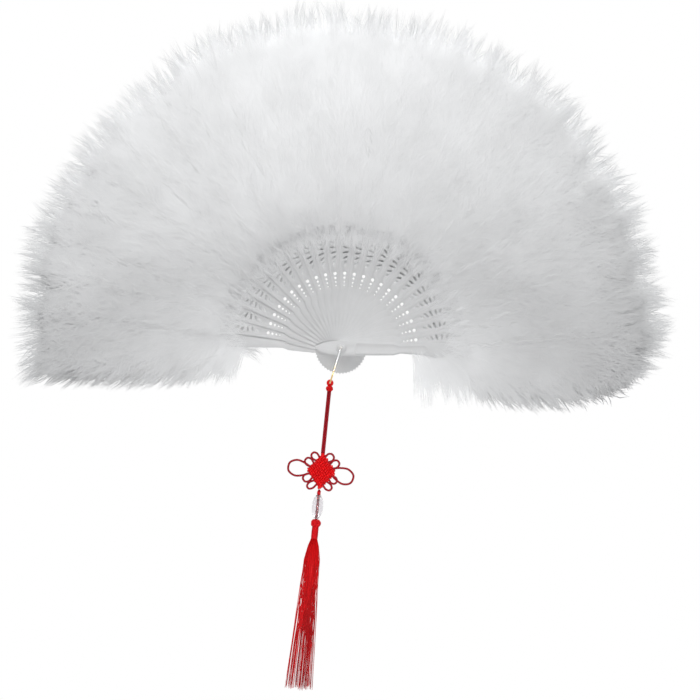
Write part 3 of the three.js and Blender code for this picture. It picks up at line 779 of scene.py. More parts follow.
@dataclass(frozen=True)
class CordFinish:
    """Twisted red satin cord, painted darker in the grooves between its strands as shade."""

    name: str
    crest: Colour = (0.80, 0.009, 0.011)
    # painted shade: colour in the grooves of the twist
    painted_groove_shade: Colour = (0.60, 0.005, 0.007)
    strands: float = 3.0
    pitch: float = 2.4
    relief: float = 0.00022
    relief_share: float = 0.6
    mottle: Pair = (260.0, 0.12)
    roughness: Pair = (0.62, 0.2)
    specular: float = 0.1

    def material(self) -> Material:
        """Make the material.

        Returns:
            The material.
        """
        material, tree = Finish.start(self.name)
        height = Finish.effect(tree, Effects.twist(), Finish.lay(tree), self.strands, self.pitch)
        shade = tree.math("MULTIPLY", Finish.mottled(tree, *self.mottle), Finish.tint(tree))
        # The twist's height mixes the painted groove shade with the crest colour.
        colour = tree.scaled(tree.mix(height, self.painted_groove_shade, self.crest), shade)
        most, less = self.roughness
        rough = tree.math("SUBTRACT", most, tree.math("MULTIPLY", height, less))
        Finish.close(tree, {"Base Color": colour, "Roughness": rough, "Specular IOR Level": self.specular,
                            "Normal": Finish.bump(tree, height, self.relief, self.relief_share)})
        return material


@dataclass(frozen=True)
class ThreadFinish:
    """Loose satin threads, deep red at the neck and paler towards the hem."""

    upper: Colour = (0.86, 0.006, 0.008)
    lower: Colour = (0.90, 0.032, 0.038)
    change: Pair = (-0.17, -0.31)
    mottle: Pair = (140.0, 0.18)
    roughness: float = 0.5
    specular: float = 0.06

    def material(self) -> Material:
        """Make the material.

        Returns:
            The material.
        """
        material, tree = Finish.start("Red Thread")
        shine = Finish.mottled(tree, *self.mottle)
        colour = tree.mix(Finish.fall(tree, *self.change), self.upper, self.lower)
        shade = tree.math("MULTIPLY", Finish.tint(tree), shine)
        Finish.close(tree, {"Base Color": tree.scaled(colour, shade),
                            "Roughness": tree.math("MULTIPLY", shine, self.roughness),
                            "Specular IOR Level": self.specular})
        return material


@dataclass(frozen=True)
class BeadFinish:
    """Clear glass with a milky cast."""

    clear: Colour = (0.88, 0.86, 0.88)
    cloud: Colour = (0.68, 0.65, 0.68)
    mottle: Pair = (180.0, 1.0)
    roughness: Pair = (1.4, 0.08)
    transmission: float = 0.92
    bending: float = 1.3

    def material(self) -> Material:
        """Make the material.

        Returns:
            The material.
        """
        material, tree = Finish.start("Clear Bead")
        shade = Finish.mottled(tree, *self.mottle)
        most, factor = self.roughness
        Finish.close(tree, {"Base Color": tree.mix(shade, self.cloud, self.clear),
                            "Roughness": tree.math("MULTIPLY", tree.math("SUBTRACT", most, shade), factor),
                            "Transmission Weight": self.transmission, "IOR": self.bending})
        return material


@dataclass(frozen=True)
class RibbonFinish:
    """White satin ribbon with a fine weave, painted darker in the weave's valleys as shade."""

    colour: Colour = (0.86, 0.86, 0.865)
    # painted shade: colour in the weave's valleys
    painted_weave_shade: Colour = (0.74, 0.74, 0.75)
    weave: Pair = (1.3, 0.4)
    mottle: Pair = (90.0, 0.06)
    relief: Pair = (0.00006, 0.5)
    roughness: float = 0.4

    def material(self) -> Material:
        """Make the material.

        Returns:
            The material.
        """
        material, tree = Finish.start("White Ribbon")
        scale, wander = self.weave
        wave = tree.add("TexWave", {"Vector": Finish.lay(tree), "Scale": scale, "Distortion": wander})
        weave = wave.outputs["Fac"]
        # The weave mixes the painted valley shade with the ribbon's colour.
        colour = tree.scaled(tree.mix(weave, self.painted_weave_shade, self.colour), Finish.mottled(tree, *self.mottle))
        Finish.close(tree, {"Base Color": colour, "Roughness": self.roughness,
                            "Normal": Finish.bump(tree, weave, *self.relief)})
        return material


def dress(obj: Piece, material: Material, body: str, slot: Slot,
          *nodes: str) -> Piece:
    """Give a finished piece its material and the body it rides on, and hide the nodes that it replaces.

    Args:
        obj: The piece.
        material: Its material.
        body: Body that it rides on.
        slot: Slot of the record; not used.
        nodes: Nodes that it replaces.

    Returns:
        The piece.
    """
    obj.data.materials.clear()
    obj.data.materials.append(material)
    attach(obj, body)
    if nodes:
        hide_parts(*nodes)
    LOG.info("%s rides %s, %d faces", obj.name, body, len(obj.data.polygons))
    return obj


@dataclass(frozen=True)
class Leaf:
    """One stick with its plume, as the frame places it; the guards are the first and the last."""

    number: int
    count: int
    angle: float
    sector: float
    level: float
    thickness: float

    @staticmethod
    def name_of(number: int, count: int) -> str:
        """Name the body of a stick, which is also its node's name."""
        return {0: "front_guard", count - 1: "back_guard"}.get(number, f"stick_{number:02d}")

    @classmethod
    def read(cls) -> list["Leaf"]:
        """Read all leaves from the frame, front to back.

        Returns:
            The leaves.
        """
        fold = next(joint for joint in frame["joints"] if joint["name"] == "fan_fold")
        opened = fold["range_deg"][1]
        count = 2 + sum(name.startswith("stick_") for name in frame["bodies"])
        sector = math.radians(opened / (count - 1))
        leaves = []
        for number in range(count):
            low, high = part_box(cls.name_of(number, count))
            angle = (180 - opened) / 2 + opened * number / (count - 1)
            thickness = GUARD_THICKNESS if number in (0, count - 1) else (high.y - low.y) / MM
            level = (low.y + high.y) / 2 / MM
            if number == 0:
                level = high.y / MM - thickness / 2
            if number == count - 1:
                level = low.y / MM + thickness / 2
            leaves.append(cls(number, count, math.radians(angle), sector, level, thickness))
        return leaves

    @property
    def body(self) -> str:
        """Name of the stick's body and node."""
        return self.name_of(self.number, self.count)

    @property
    def plume(self) -> str:
        """Name of the plume's node."""
        return self.body + "_plume" if self.is_guard else f"plume_{self.number:02d}"

    @property
    def is_guard(self) -> bool:
        """Whether this is the first or the last leaf."""
        return self.number in (0, self.count - 1)

    @property
    def half_sector(self) -> float:
        """Half the angle between neighbours."""
        return self.sector / 2

    @property
    def place(self) -> Matrix:
        """Turn from the bench to the leaf's place in the frame."""
        c, s = math.cos(self.angle), math.sin(self.angle)
        return Matrix(((c, -s, 0, 0), (0, 0, -1, self.level * MM), (s, c, 0, 0), (0, 0, 0, 1)))


@dataclass
class Sticks:
    """The pierced sticks and the two guards, all of one outline."""

    tail: float = 23.4
    tail_handle: Pair = (20.12, 5.4)
    tail_cut: float = 0.02
    pivot_half: float = 6.7
    blade: Pair = (47.0, 5.8)
    waist: Pair = (53.0, 4.0)
    shoulder: Pair = (105.0, 7.3)
    rib: Pair = (110.0, 1.8)
    rib_tip: Pair = (250.0, 1.2)
    bore: float = 2.1
    bore_corners: int = 32
    hole_places: Row = (56.5, 59.78, 63.42, 67.42)
    hole_radii: Row = (0.6, 0.75, 1.0, 1.45)
    hole_corners: int = 20
    slot_row: Pair = (77.02, 100.0)
    slot_count: int = 6
    slot_size: Pair = (5.6, 1.6)
    slot_end_share: float = 0.7
    slot_slant: float = 52.0
    slot_corners: int = 16
    cutter_depth: float = 10.0
    panel: Pair = (12.0, 78.0)
    panel_runs: Pair = (1.5, 3.0)
    panel_cuts: Pair = (2.6, 3.2)
    panel_margin: float = 1.1
    panel_height: float = 0.5
    panel_sunk: float = 0.2
    panel_frame: float = 0.9
    panel_bevel: Pair = (0.5, 0.25)
    panel_edge: float = 0.16
    edge: float = 0.2
    edge_angle: float = math.radians(40)
    crease: float = math.radians(35)
    curve_steps: int = 7

    def outline(self) -> list[Station]:
        """Give the stations of a stick's outline from the tail to the tip.

        Returns:
            Place along the stick, and lower and upper edge, in metres.
        """
        places = []
        for step in range(self.curve_steps + 1):
            t = self.tail_cut + (1 - self.tail_cut) * step / self.curve_steps
            along = -self.tail * (1 - t) ** 2 - 2 * t * (1 - t) * self.tail_handle[0]
            places.append((along, 2 * t * (1 - t) * self.tail_handle[1] + t * t * self.pivot_half))
        places += [self.blade, self.waist, self.shoulder]
        for step in range(1, self.curve_steps + 1):
            t = step / self.curve_steps
            along = self.shoulder[0] * (1 - t) ** 2 + self.rib[0] * (1 - (1 - t) ** 2)
            half = self.shoulder[1] * (1 - t * t) + self.rib[1] * t * t
            places.append((along, half))
        places.append(self.rib_tip)
        return [(x * MM, -half * MM, half * MM) for x, half in places]

    def half_width(self, along: float) -> float:
        """Interpolate the blade's half width between the pivot and the shoulder."""
        stations = [(0.0, self.pivot_half), self.blade, self.waist, self.shoulder]
        return float(np.interp(along, *zip(*stations)))

    def cutter(self, along: float, length: float, width: float, slant: float,
               corners: int) -> Piece:
        """Make a round or long cutter across the bench.

        Args:
            along: Place of its middle.
            length: Its longer size.
            width: Its shorter size.
            slant: Turn in degrees.
            corners: Number of corners.

        Returns:
            The cutter.
        """
        Bench.clear()
        bpy.ops.mesh.primitive_cylinder_add(vertices=corners, radius=0.5 * MM, depth=self.cutter_depth * MM)
        obj = bpy.context.object
        obj.scale = (length, width, 1)
        obj.rotation_euler.z = math.radians(slant)
        obj.location.x = along * MM
        Bench.settle(obj)
        return obj

    def round_cutter(self, along: float, radius: float, corners: int) -> Piece:
        """Make a round cutter."""
        return self.cutter(along, 2 * radius, 2 * radius, 0, corners)

    def soften(self, obj: Piece, edge: float) -> None:
        """Round a moulding's edges, smooth it and give it its surface map.

        Args:
            obj: The moulding.
            edge: Width of the rounding.
        """
        Bench.apply(obj, "BEVEL", width=edge * MM, segments=2, limit_method="ANGLE",
                    angle_limit=self.edge_angle)
        Bench.take(obj)
        bpy.ops.object.shade_smooth_by_angle(angle=self.crease)
        Bench.flat_map(obj)

    def pierced(self, name: str, thickness: float, cutters: list[Piece]) -> Piece:
        """Make a blank, cut its openings, and soften all edges.

        Args:
            name: Name of the template.
            thickness: Its thickness.
            cutters: The cutters, which are used up.

        Returns:
            The template, flat on the bench.
        """
        obj = Bench.strip(name, self.outline())
        Bench.apply(obj, "SOLIDIFY", thickness=thickness * MM, offset=0)
        tool = Bench.join(cutters[0], *cutters[1:])
        Bench.apply(obj, "BOOLEAN", object=tool, operation="DIFFERENCE", solver="EXACT")
        Bench.discard(tool)
        self.soften(obj, self.edge)
        return obj

    def inner(self, thickness: float) -> Piece:
        """Model a pierced stick once.

        Args:
            thickness: Its thickness.

        Returns:
            The template, flat on the bench.
        """
        cutters = [self.round_cutter(0, self.bore, self.bore_corners)]
        for along, radius in zip(self.hole_places, self.hole_radii):
            cutters.append(self.round_cutter(along, radius, self.hole_corners))
        for number in range(self.slot_count):
            share = number / (self.slot_count - 1)
            full = self.slot_end_share + (1 - self.slot_end_share) * math.sin(math.pi * share)
            along = self.slot_row[0] + (self.slot_row[1] - self.slot_row[0]) * share
            slant = self.slot_slant * (1 - 2 * share) + 90
            cutters.append(self.cutter(along, self.slot_size[0] * full, self.slot_size[1], slant,
                                       self.slot_corners))
        return self.pierced("stick_template", thickness, cutters)

    def guard(self, thickness: float) -> Piece:
        """Model a guard once, with its raised panel towards the front.

        Args:
            thickness: Its thickness without the panel.

        Returns:
            The template, flat on the bench.
        """
        bore = self.round_cutter(0, self.bore, self.bore_corners)
        obj = self.pierced("guard_template", thickness, [bore])
        first, last = self.panel
        rows = ((first, self.panel_cuts[0]), (first + self.panel_runs[0], 0.0), (self.blade[0], 0.0),
                (self.waist[0], 0.0), (last - self.panel_runs[1], 0.0), (last, self.panel_cuts[1]))
        stations = []
        for along, cut in rows:
            half = (self.half_width(along) - (self.panel_margin + cut)) * MM
            stations.append((along * MM, -half, half))
        panel = Bench.strip("panel_template", stations)
        Bench.edit(panel)
        bpy.ops.transform.translate(value=(0, 0, -self.panel_sunk * MM))
        for rise in (thickness / 2, self.panel_height + self.panel_sunk):
            bpy.ops.mesh.extrude_region_move(TRANSFORM_OT_translate={"value": (0, 0, rise * MM)})
        bpy.ops.mesh.inset(thickness=self.panel_frame * MM, depth=0)
        bpy.ops.mesh.inset(thickness=self.panel_bevel[0] * MM, depth=-self.panel_bevel[1] * MM)
        bpy.ops.mesh.select_all(action="SELECT")
        bpy.ops.mesh.normals_make_consistent(inside=False)
        bpy.ops.object.mode_set(mode="OBJECT")
        self.soften(panel, self.panel_edge)
        return Bench.join(obj, panel)

    def build(self, leaves: list[Leaf], material: Material) -> None:
        """Make every stick and dress it.

        Args:
            leaves: All leaves.
            material: The plastic.
        """
        inner, guard = self.inner(leaves[1].thickness), self.guard(leaves[0].thickness)
        over = Matrix.Rotation(math.pi, 4, "X")
        for leaf in leaves:
            place = leaf.place @ over if leaf.number == leaf.count - 1 else leaf.place
            template = guard if leaf.is_guard else inner
            piece = Bench.copy(template, leaf.body + "_moulding", place)
            dress(piece, material, leaf.body, Slot.PLASTIC, leaf.body)
        Bench.discard(inner, guard)


@dataclass
class Ribbon:
    """Narrow ribbon over the fronts of the ribs, a length of it on each stick so that the fan can fold."""

    radius: float = 131.0
    width: float = 6.0
    thickness: float = 0.3
    end: float = 4.0
    step: float = 1.1
    gap: float = 0.3
    spans: int = 4

    def build(self, leaves: list[Leaf], material: Material) -> None:
        """Make each length and dress it.

        Args:
            leaves: All leaves.
            material: The satin.
        """
        half = leaves[1].half_sector
        for leaf in leaves:
            low = -self.end / self.radius if leaf.number == 0 else -half
            high = self.end / self.radius if leaf.number == leaf.count - 1 else half
            reach = (high - low) * self.radius * MM
            stations = [(reach * k / self.spans, -self.width / 2 * MM, self.width / 2 * MM)
                        for k in range(self.spans + 1)]
            piece = Bench.strip(f"spacing_ribbon_{leaf.number:02d}", stations)
            Bench.apply(piece, "SOLIDIFY", thickness=self.thickness * MM, offset=0)
            Bench.flat_map(piece)
            lift = leaf.thickness / 2 + self.gap + self.thickness / 2 + (self.gap if leaf.is_guard else 0)
            flat = points_of(piece.data) / MM
            turn = low + flat[:, 0] / self.radius
            out = self.radius + flat[:, 1]
            slope = 0.0 if leaf.is_guard else -self.step / (2 * half)
            bent = np.stack([out * np.cos(turn), out * np.sin(turn), flat[:, 2] + lift + slope * turn], -1)
            piece.data.vertices.foreach_set("co", (bent * MM).astype(np.float32).ravel())
            piece.data.transform(leaf.place)
            Bench.edit(piece)
            bpy.ops.mesh.normals_make_consistent(inside=False)
            Bench.clear()
            dress(piece, material, leaf.body, Slot.RIBBON, "spacing_ribbon")


@dataclass(frozen=True)
class Bed:
    """How one bed of down grows: tufts and their barbs, in millimetres and degrees."""

    tufts: int
    length: Pair
    lift: float
    gather: float
    spread: float
    stray: float
    half_width: float
    ragged: float
    curl: float = 0.10
    barbs: int = 13
    calm: float = 0.97
    short: float = 0.0
    loose: float = 0.045
    # painted light: scale on a bed's colour, raised on the lower beds to offset their shadow and lowered on
    # the rim wisps as painted shade
    tone: float = 1.0
    way: int = 1


Growth = tuple[Bed, Callable[[Array, Array], Array]]

FACE_BED = Bed(420, (12, 26), 5, 0.15, 4.4, 18, 0.55, 5.0, curl=0.2, short=15.0)
APRON_BED = Bed(44, (10, 22), 8, 0.2, 4.0, 18, 0.36, 4.0)
INWARD_BED = Bed(36, (7, 16), 8, 0.3, 3.0, 16, 0.24, 4.0, way=-1)
RIM_BED = Bed(130, (22, 38), 9, 0.15, 3.4, 10, 0.34, 6.0, short=27.0)
CAP_BED = Bed(60, (12, 22), 4, 0.2, 3.0, 14, 0.3, 4.0, short=20.0)
# painted shade: the rim wisps are painted greyer
WISP_BED = Bed(46, (42, 64), 5, 0.5, 1.1, 9, 0.26, 7.0, barbs=6, calm=0.95, short=-6.0, loose=0.014,
               tone=0.86)
# painted light: the lower beds are painted lighter to offset the shadow along the lower edges
LOWER_BED = Bed(220, (16, 30), 8, 0.15, 3.2, 10, 0.36, 4.0, short=15.0, tone=1.05)
LOWER_WISP_BED = Bed(150, (28, 50), 5, 0.5, 1.1, 10, 0.27, 5.0, barbs=7, calm=0.95, short=-4.0,
                     loose=0.014, tone=1.02)
FRONT_FRINGE_BED = Bed(22, (8, 30), 9, 0.5, 2.2, 15, 0.15, 4.0, barbs=9, way=-1)
BACK_FRINGE_BED = Bed(60, (10, 28), 9, 0.2, 3.4, 16, 0.32, 4.0, way=-1)
FLUFF_BED = Bed(190, (20, 50), 8, 0.6, 1.4, 11, 0.36, 4.0, barbs=9, calm=0.95, loose=0.02)


class Barb:
    """One closed barb of down, modelled once: a flat three-sided spindle with its ridge outwards."""

    WIDEST = 0.6
    FLATNESS = 0.14

    def __init__(self) -> None:
        """Model it from a small triangle that is drawn out to a point at both ends."""
        Bench.clear()
        bpy.ops.mesh.primitive_circle_add(vertices=3, radius=1, fill_type="NGON",
                                          rotation=(0, math.pi / 2, 0))
        obj = bpy.context.object
        Bench.settle(obj)
        Bench.edit(obj)
        bpy.ops.transform.resize(value=(1, 1, self.FLATNESS), center_override=(0, 0, 0))
        bpy.ops.transform.translate(value=(self.WIDEST, 0, 0))
        bpy.ops.mesh.extrude_region_move(TRANSFORM_OT_translate={"value": (1 - self.WIDEST, 0, 0)})
        bpy.ops.mesh.merge(type="CENTER")
        Bench.pick(obj, lambda at: np.abs(at[:, 0] - self.WIDEST) < 0.01)
        bpy.ops.mesh.extrude_region_move(TRANSFORM_OT_translate={"value": (-self.WIDEST, 0, 0)})
        bpy.ops.mesh.merge(type="CENTER")
        bpy.ops.mesh.select_all(action="SELECT")
        bpy.ops.mesh.normals_make_consistent(inside=False)
        bpy.ops.object.mode_set(mode="OBJECT")
        mesh = obj.data
        self.points = points_of(mesh)
        self.corners = np.empty(len(mesh.loops), np.int64)
        mesh.loops.foreach_get("vertex_index", self.corners)
        self.outer = np.array([face.normal.z > 0 for face in mesh.polygons])
        Bench.discard(obj)

    def copies(self, root: Array, middle: Array, tip: Array, normal: Array,
               half_width: Array, bed: Bed) -> tuple[Array, Array, Array]:
        """Bend copies of the barb along curves.

        Args:
            root: Start of each curve.
            middle: Its handle.
            tip: Its end.
            normal: Direction that the ridge turns to.
            half_width: Half the barb's width.
            bed: The bed, which tells how far the shading follows the surface that the barb lies on.

        Returns:
            Points, corner indices and soft corner normals of all copies, which are made of triangles.
        """
        share = self.points[:, 0][None, :, None]
        r, m, t = root[:, None], middle[:, None], tip[:, None]
        line = r * (1 - share) ** 2 + 2 * m * share * (1 - share) + t * share ** 2
        tangent = unit(2 * (m - r) * (1 - share) + 2 * (t - m) * share)
        across = unit(np.cross(normal[:, None], tangent))
        outward = np.cross(tangent, across)
        size = half_width[:, None, None]
        points = line + size * (self.points[None, :, 1:2] * across + self.points[None, :, 2:3] * outward)
        first = np.arange(len(root))[:, None] * len(self.points)
        corners = (self.corners[None] + first).ravel()
        faces = points[:, self.corners].reshape(len(root), -1, 3, 3)
        own = unit(np.cross(faces[:, :, 1] - faces[:, :, 0], faces[:, :, 2] - faces[:, :, 0]))
        calm = np.where(self.outer, bed.calm, 0.0)[None, :, None, None]
        soft = unit(calm * normal[:, None, None] + (1 - calm) * own[:, :, None])
        soft = np.broadcast_to(soft, faces.shape)
        return points.reshape(-1, 3), corners, soft.reshape(-1, 3)


@dataclass
class Plume:
    """The down on one inner stick: a smooth heart with tufts growing from it, in millimetres."""

    leaf: Leaf
    barb: Barb
    right_reach: float = 291.0
    left_reach: float = 298.0
    top_reach: float = 311.0
    heart_root: float = 109.0
    heart_margin: float = 36.0
    heart_depth: Row = (10.0, 20.0, 24.5, 26.0, 26.0, 24.0, 13.0)
    heart_ends: float = 0.8
    heart_tint: float = 0.94
    overlap: float = 2.0
    edge_share: float = 0.8
    near: float = 1e-5
    depth_limit: float = 40.0
    flatten: tuple[float, float, float] = (0.12, 0.12, 1.0)
    face_end: float = 34.0
    apron_end: float = 134.0
    inward_end: float = 121.0
    rim_span: Pair = (64.0, 38.0)
    cap_span: Pair = (64.0, 44.0)
    wisp_span: Pair = (58.0, 34.0)
    front_fringe: Pair = (106.0, 124.0)
    back_fringe: Pair = (92.0, 120.0)
    fringe_lift: float = 2.0
    inner_limit: float = 74.0
    hug: float = 0.7
    lift_spread: float = 0.35
    sag: float = 0.05
    sunk: float = 1.2
    lengthwise: float = 1.5
    uneven: float = 0.14
    wander: float = 0.05
    arch: float = 0.05
    side_tilt: float = 0.1
    least_facing: float = 0.35
    ridge_stray: float = 0.02
    width_range: Pair = (0.75, 1.2)
    tone_range: Pair = (0.97, 1.0)
    # painted shade: a barb's tint at its root, rising to 1 at its tip
    painted_root_shade: float = 0.95
    squashed: float = 0.28
    first_seed: int = 700
    map_low: Pair = (60.0, -70.0)
    map_span: Pair = (260.0, 140.0)
    soft: list[Array] = field(default_factory=list)

    @property
    def reach(self) -> float:
        """Radius that the tips reach on this leaf.

        Returns:
            Millimetres from the pivot.
        """
        height = math.sin(self.leaf.angle)
        side = self.right_reach + (self.left_reach - self.right_reach) * (1 - math.cos(self.leaf.angle)) / 2
        wave = 2.6 * math.sin(self.leaf.number * 2.1) + 1.8 * math.sin(self.leaf.number * 0.9 + 1)
        return side + (self.top_reach - side) * height + wave

    def stations(self) -> list[Station]:
        """Give the heart's outline.

        Returns:
            Place along the heart, and lower and upper edge, in millimetres.
        """
        places = np.linspace(self.heart_root, self.reach - self.heart_margin, len(self.heart_depth))
        halves = places * math.tan(self.leaf.half_sector) * self.overlap
        halves[[0, -1]] *= self.heart_ends
        return [(float(x), -float(h), float(h)) for x, h in zip(places, halves)]

    def heart(self) -> Piece:
        """Model the smooth heart of the plume on the bench.

        Returns:
            The object, in metres.
        """
        stations = [(x * MM, low * MM, high * MM) for x, low, high in self.stations()]
        obj = Bench.strip(self.leaf.plume + "_down", stations, rows=4, depth=1.0)
        Bench.edit(obj)
        for (along, low, high), depth in zip(stations, self.heart_depth):
            middle, half = (low + high) / 2, (high - low) / 2
            Bench.pick(obj, lambda at, x=along: np.abs(at[:, 0] - x) < self.near)
            bpy.ops.transform.resize(value=(1, 1, depth * MM), center_override=(along, 0, 0))
            Bench.pick(obj, lambda at, x=along, m=middle, h=half:
                       (np.abs(at[:, 0] - x) < self.near) & (np.abs(at[:, 1] - m) > 0.9 * h))
            bpy.ops.transform.resize(value=(1, 1, self.edge_share), center_override=(along, 0, 0))
        Bench.clear()
        Bench.apply(obj, "SUBSURF", levels=2, render_levels=2)
        return obj

    def flow(self, at: Array) -> Array:
        """Direction in which the down lies at points of the plume.

        Args:
            at: The points.

        Returns:
            Unit vectors.
        """
        radial = at.copy()
        radial[:, 2] = 0
        return unit(radial)

    def excess(self, at: Array) -> Array:
        """How far points lie beyond the plume's outline, in millimetres, below zero inside."""
        return np.hypot(at[:, 0], at[:, 1]) - self.reach

    def near_tip(self, at: Array, span: Pair) -> Array:
        """Rise from 0 to 1 between two distances from the tips."""
        return ramp(at[:, 0], self.reach - span[0], self.reach - span[1])

    def rim_beds(self, body: int, cap: int, wisps: int) -> list[Growth]:
        """Give the beds at the outer rim: its body, the cap on the heart's end, and long wisps.

        Args:
            body: Tufts of the body.
            cap: Tufts of the cap.
            wisps: Tufts of the wisps.

        Returns:
            The beds, each with where it grows by place and normal.
        """
        return [
            (replace(RIM_BED, tufts=body),
             lambda at, n: self.near_tip(at, self.rim_span) * (np.abs(n[:, 2]) > 0.3)),
            (replace(CAP_BED, tufts=cap),
             lambda at, n: self.near_tip(at, self.cap_span) * (np.abs(n[:, 2]) < 0.5)),
            (replace(WISP_BED, tufts=wisps),
             lambda at, n: self.near_tip(at, self.wisp_span) * (np.abs(n[:, 2]) > 0.3)),
        ]

    def beds(self) -> list[Growth]:
        """Give the beds on the heart.

        Returns:
            The beds, each with where it grows by place and normal.
        """
        return [
            (FACE_BED, lambda at, n: np.abs(n[:, 2]) * (at[:, 0] < self.reach - self.face_end)),
            (APRON_BED, lambda at, n: at[:, 0] < self.apron_end),
            (INWARD_BED, lambda at, n: at[:, 0] < self.inward_end),
            *self.rim_beds(RIM_BED.tufts, CAP_BED.tufts, WISP_BED.tufts),
        ]

    def hold(self, points: Array) -> None:
        """Keep points within the plume's depth, in place."""
        low, high = self.leaf.level - self.depth_limit, self.leaf.level + self.depth_limit
        points[..., 2] = np.clip(points[..., 2], low, high)

    def grow(self, roots: Array, normals: Array, flow: Array, bed: Bed,
             facets: Facets, rng: np.random.Generator) -> None:
        """Grow the tufts of one bed.

        Args:
            roots: Where each tuft stands.
            normals: Surface normal there.
            flow: Direction in which it lies.
            bed: How it grows.
            facets: What the barbs are added to.
            rng: Seeded random numbers.
        """
        tufts, barbs = len(roots), bed.barbs
        rising = np.sum(flow * normals, 1, keepdims=True)
        flow = unit(bed.way * flow - bed.way * normals * rising * self.hug)
        side = unit(np.cross(normals, flow))
        yaw = np.radians(rng.normal(0, bed.stray, (tufts, 1)))
        lift = np.radians(np.abs(rng.normal(bed.lift, bed.lift * self.lift_spread, (tufts, 1))))
        lying = np.cos(yaw) * flow + np.sin(yaw) * side
        heading = unit(np.cos(lift) * lying + np.sin(lift) * normals)
        length = rng.uniform(*bed.length, (tufts, 1))
        down = np.array([-math.sin(self.leaf.angle), -math.cos(self.leaf.angle), 0.0])
        tip = roots + heading * length + side * rng.normal(0, bed.curl, (tufts, 1)) * length
        tip += down * self.sag * length
        ragged = bed.short + np.abs(rng.normal(0, bed.ragged, tufts))
        for _ in range(3):
            over = np.clip(self.excess(tip) + ragged, 0, None)[:, None]
            tip = tip - over * unit(tip - roots)
        if bed.way < 0:
            within = np.clip(self.inner_limit - np.hypot(tip[:, 0], tip[:, 1]), 0, None)[:, None]
            tip = tip + within * unit(roots - tip)
        self.hold(tip)
        shift = rng.normal(0, bed.spread, (tufts, barbs, 2))
        moved = shift[..., :1] * self.lengthwise * flow[:, None] + shift[..., 1:] * side[:, None]
        root = roots[:, None] + moved - self.sunk * normals[:, None]
        loose = rng.normal(0, bed.loose, (tufts, barbs, 3)) * length[:, None]
        end = tip[:, None] + (1 - bed.gather) * moved + loose
        end -= heading[:, None] * rng.uniform(0, self.uneven, (tufts, barbs, 1)) * length[:, None]
        self.hold(end)
        bow = np.linalg.norm(end - root, axis=-1, keepdims=True)
        wander = rng.normal(0, self.wander, (tufts, barbs, 3)) * bow
        handle = root + 0.5 * bow * heading[:, None] + wander + self.arch * bow * normals[:, None]
        self.hold(handle)
        steep = normals[:, 2:]
        face = np.where(np.abs(steep) > 0.1, np.sign(steep), np.sign(roots[:, 2:] + 0.01))
        facing = face * np.maximum(np.abs(steep), self.least_facing)
        facing = unit(np.concatenate([self.side_tilt * normals[:, :2], facing], 1))
        ridge = unit(facing[:, None] + rng.normal(0, self.ridge_stray, (tufts, barbs, 3)))
        width = bed.half_width * rng.uniform(*self.width_range, tufts * barbs)
        points, corners, soft = self.barb.copies(
            root.reshape(-1, 3), handle.reshape(-1, 3), end.reshape(-1, 3), ridge.reshape(-1, 3), width, bed)
        # Each barb's tint: the bed's painted light times the down's random tone.
        tone = bed.tone * rng.uniform(*self.tone_range, (tufts, 1, 1))
        tone = tone * rng.uniform(*self.tone_range, (tufts, barbs, 1))
        # painted shade: darker towards each barb's root
        along = self.painted_root_shade + (1 - self.painted_root_shade) * self.barb.points[:, 0]
        self.take(facets, points, corners, soft, (tone * along[None, None]).ravel())

    def take(self, facets: Facets, points: Array, corners: Array, soft: Array,
             tints: Array) -> None:
        """Add triangles with their flat map.

        Args:
            facets: What they are added to.
            points: Points on the bench.
            corners: Corner indices.
            soft: Normal of each corner.
            tints: Shade of each point.
        """
        flat = (points[corners, :2] - self.map_low) / self.map_span
        facets.add(points * MM, corners, np.full(len(corners) // 3, 3), tints, np.clip(flat, 0.001, 0.999))
        self.soft.append(soft)

    def fringe(self, facets: Facets, rng: np.random.Generator) -> None:
        """Grow the short down that laps inwards over the blades, front and back.

        Args:
            facets: What it is added to.
            rng: Seeded random numbers.
        """
        beds = {Face.FRONT: (FRONT_FRINGE_BED, self.front_fringe),
                Face.BACK: (BACK_FRINGE_BED, self.back_fringe)}
        for face, (bed, rows) in beds.items():
            tufts = self.share(bed.tufts)
            along = rng.uniform(*rows, tufts)
            turn = rng.uniform(-1, 1, tufts) * self.leaf.half_sector
            height = np.full(tufts, face.value * (self.leaf.thickness / 2 + self.fringe_lift))
            roots = winding(along, turn, height)
            normals = np.tile([0.0, 0.0, float(face.value)], (tufts, 1))
            self.grow(roots, normals, self.flow(roots), bed, facets, rng)

    @staticmethod
    def share(count: int) -> int:
        return count

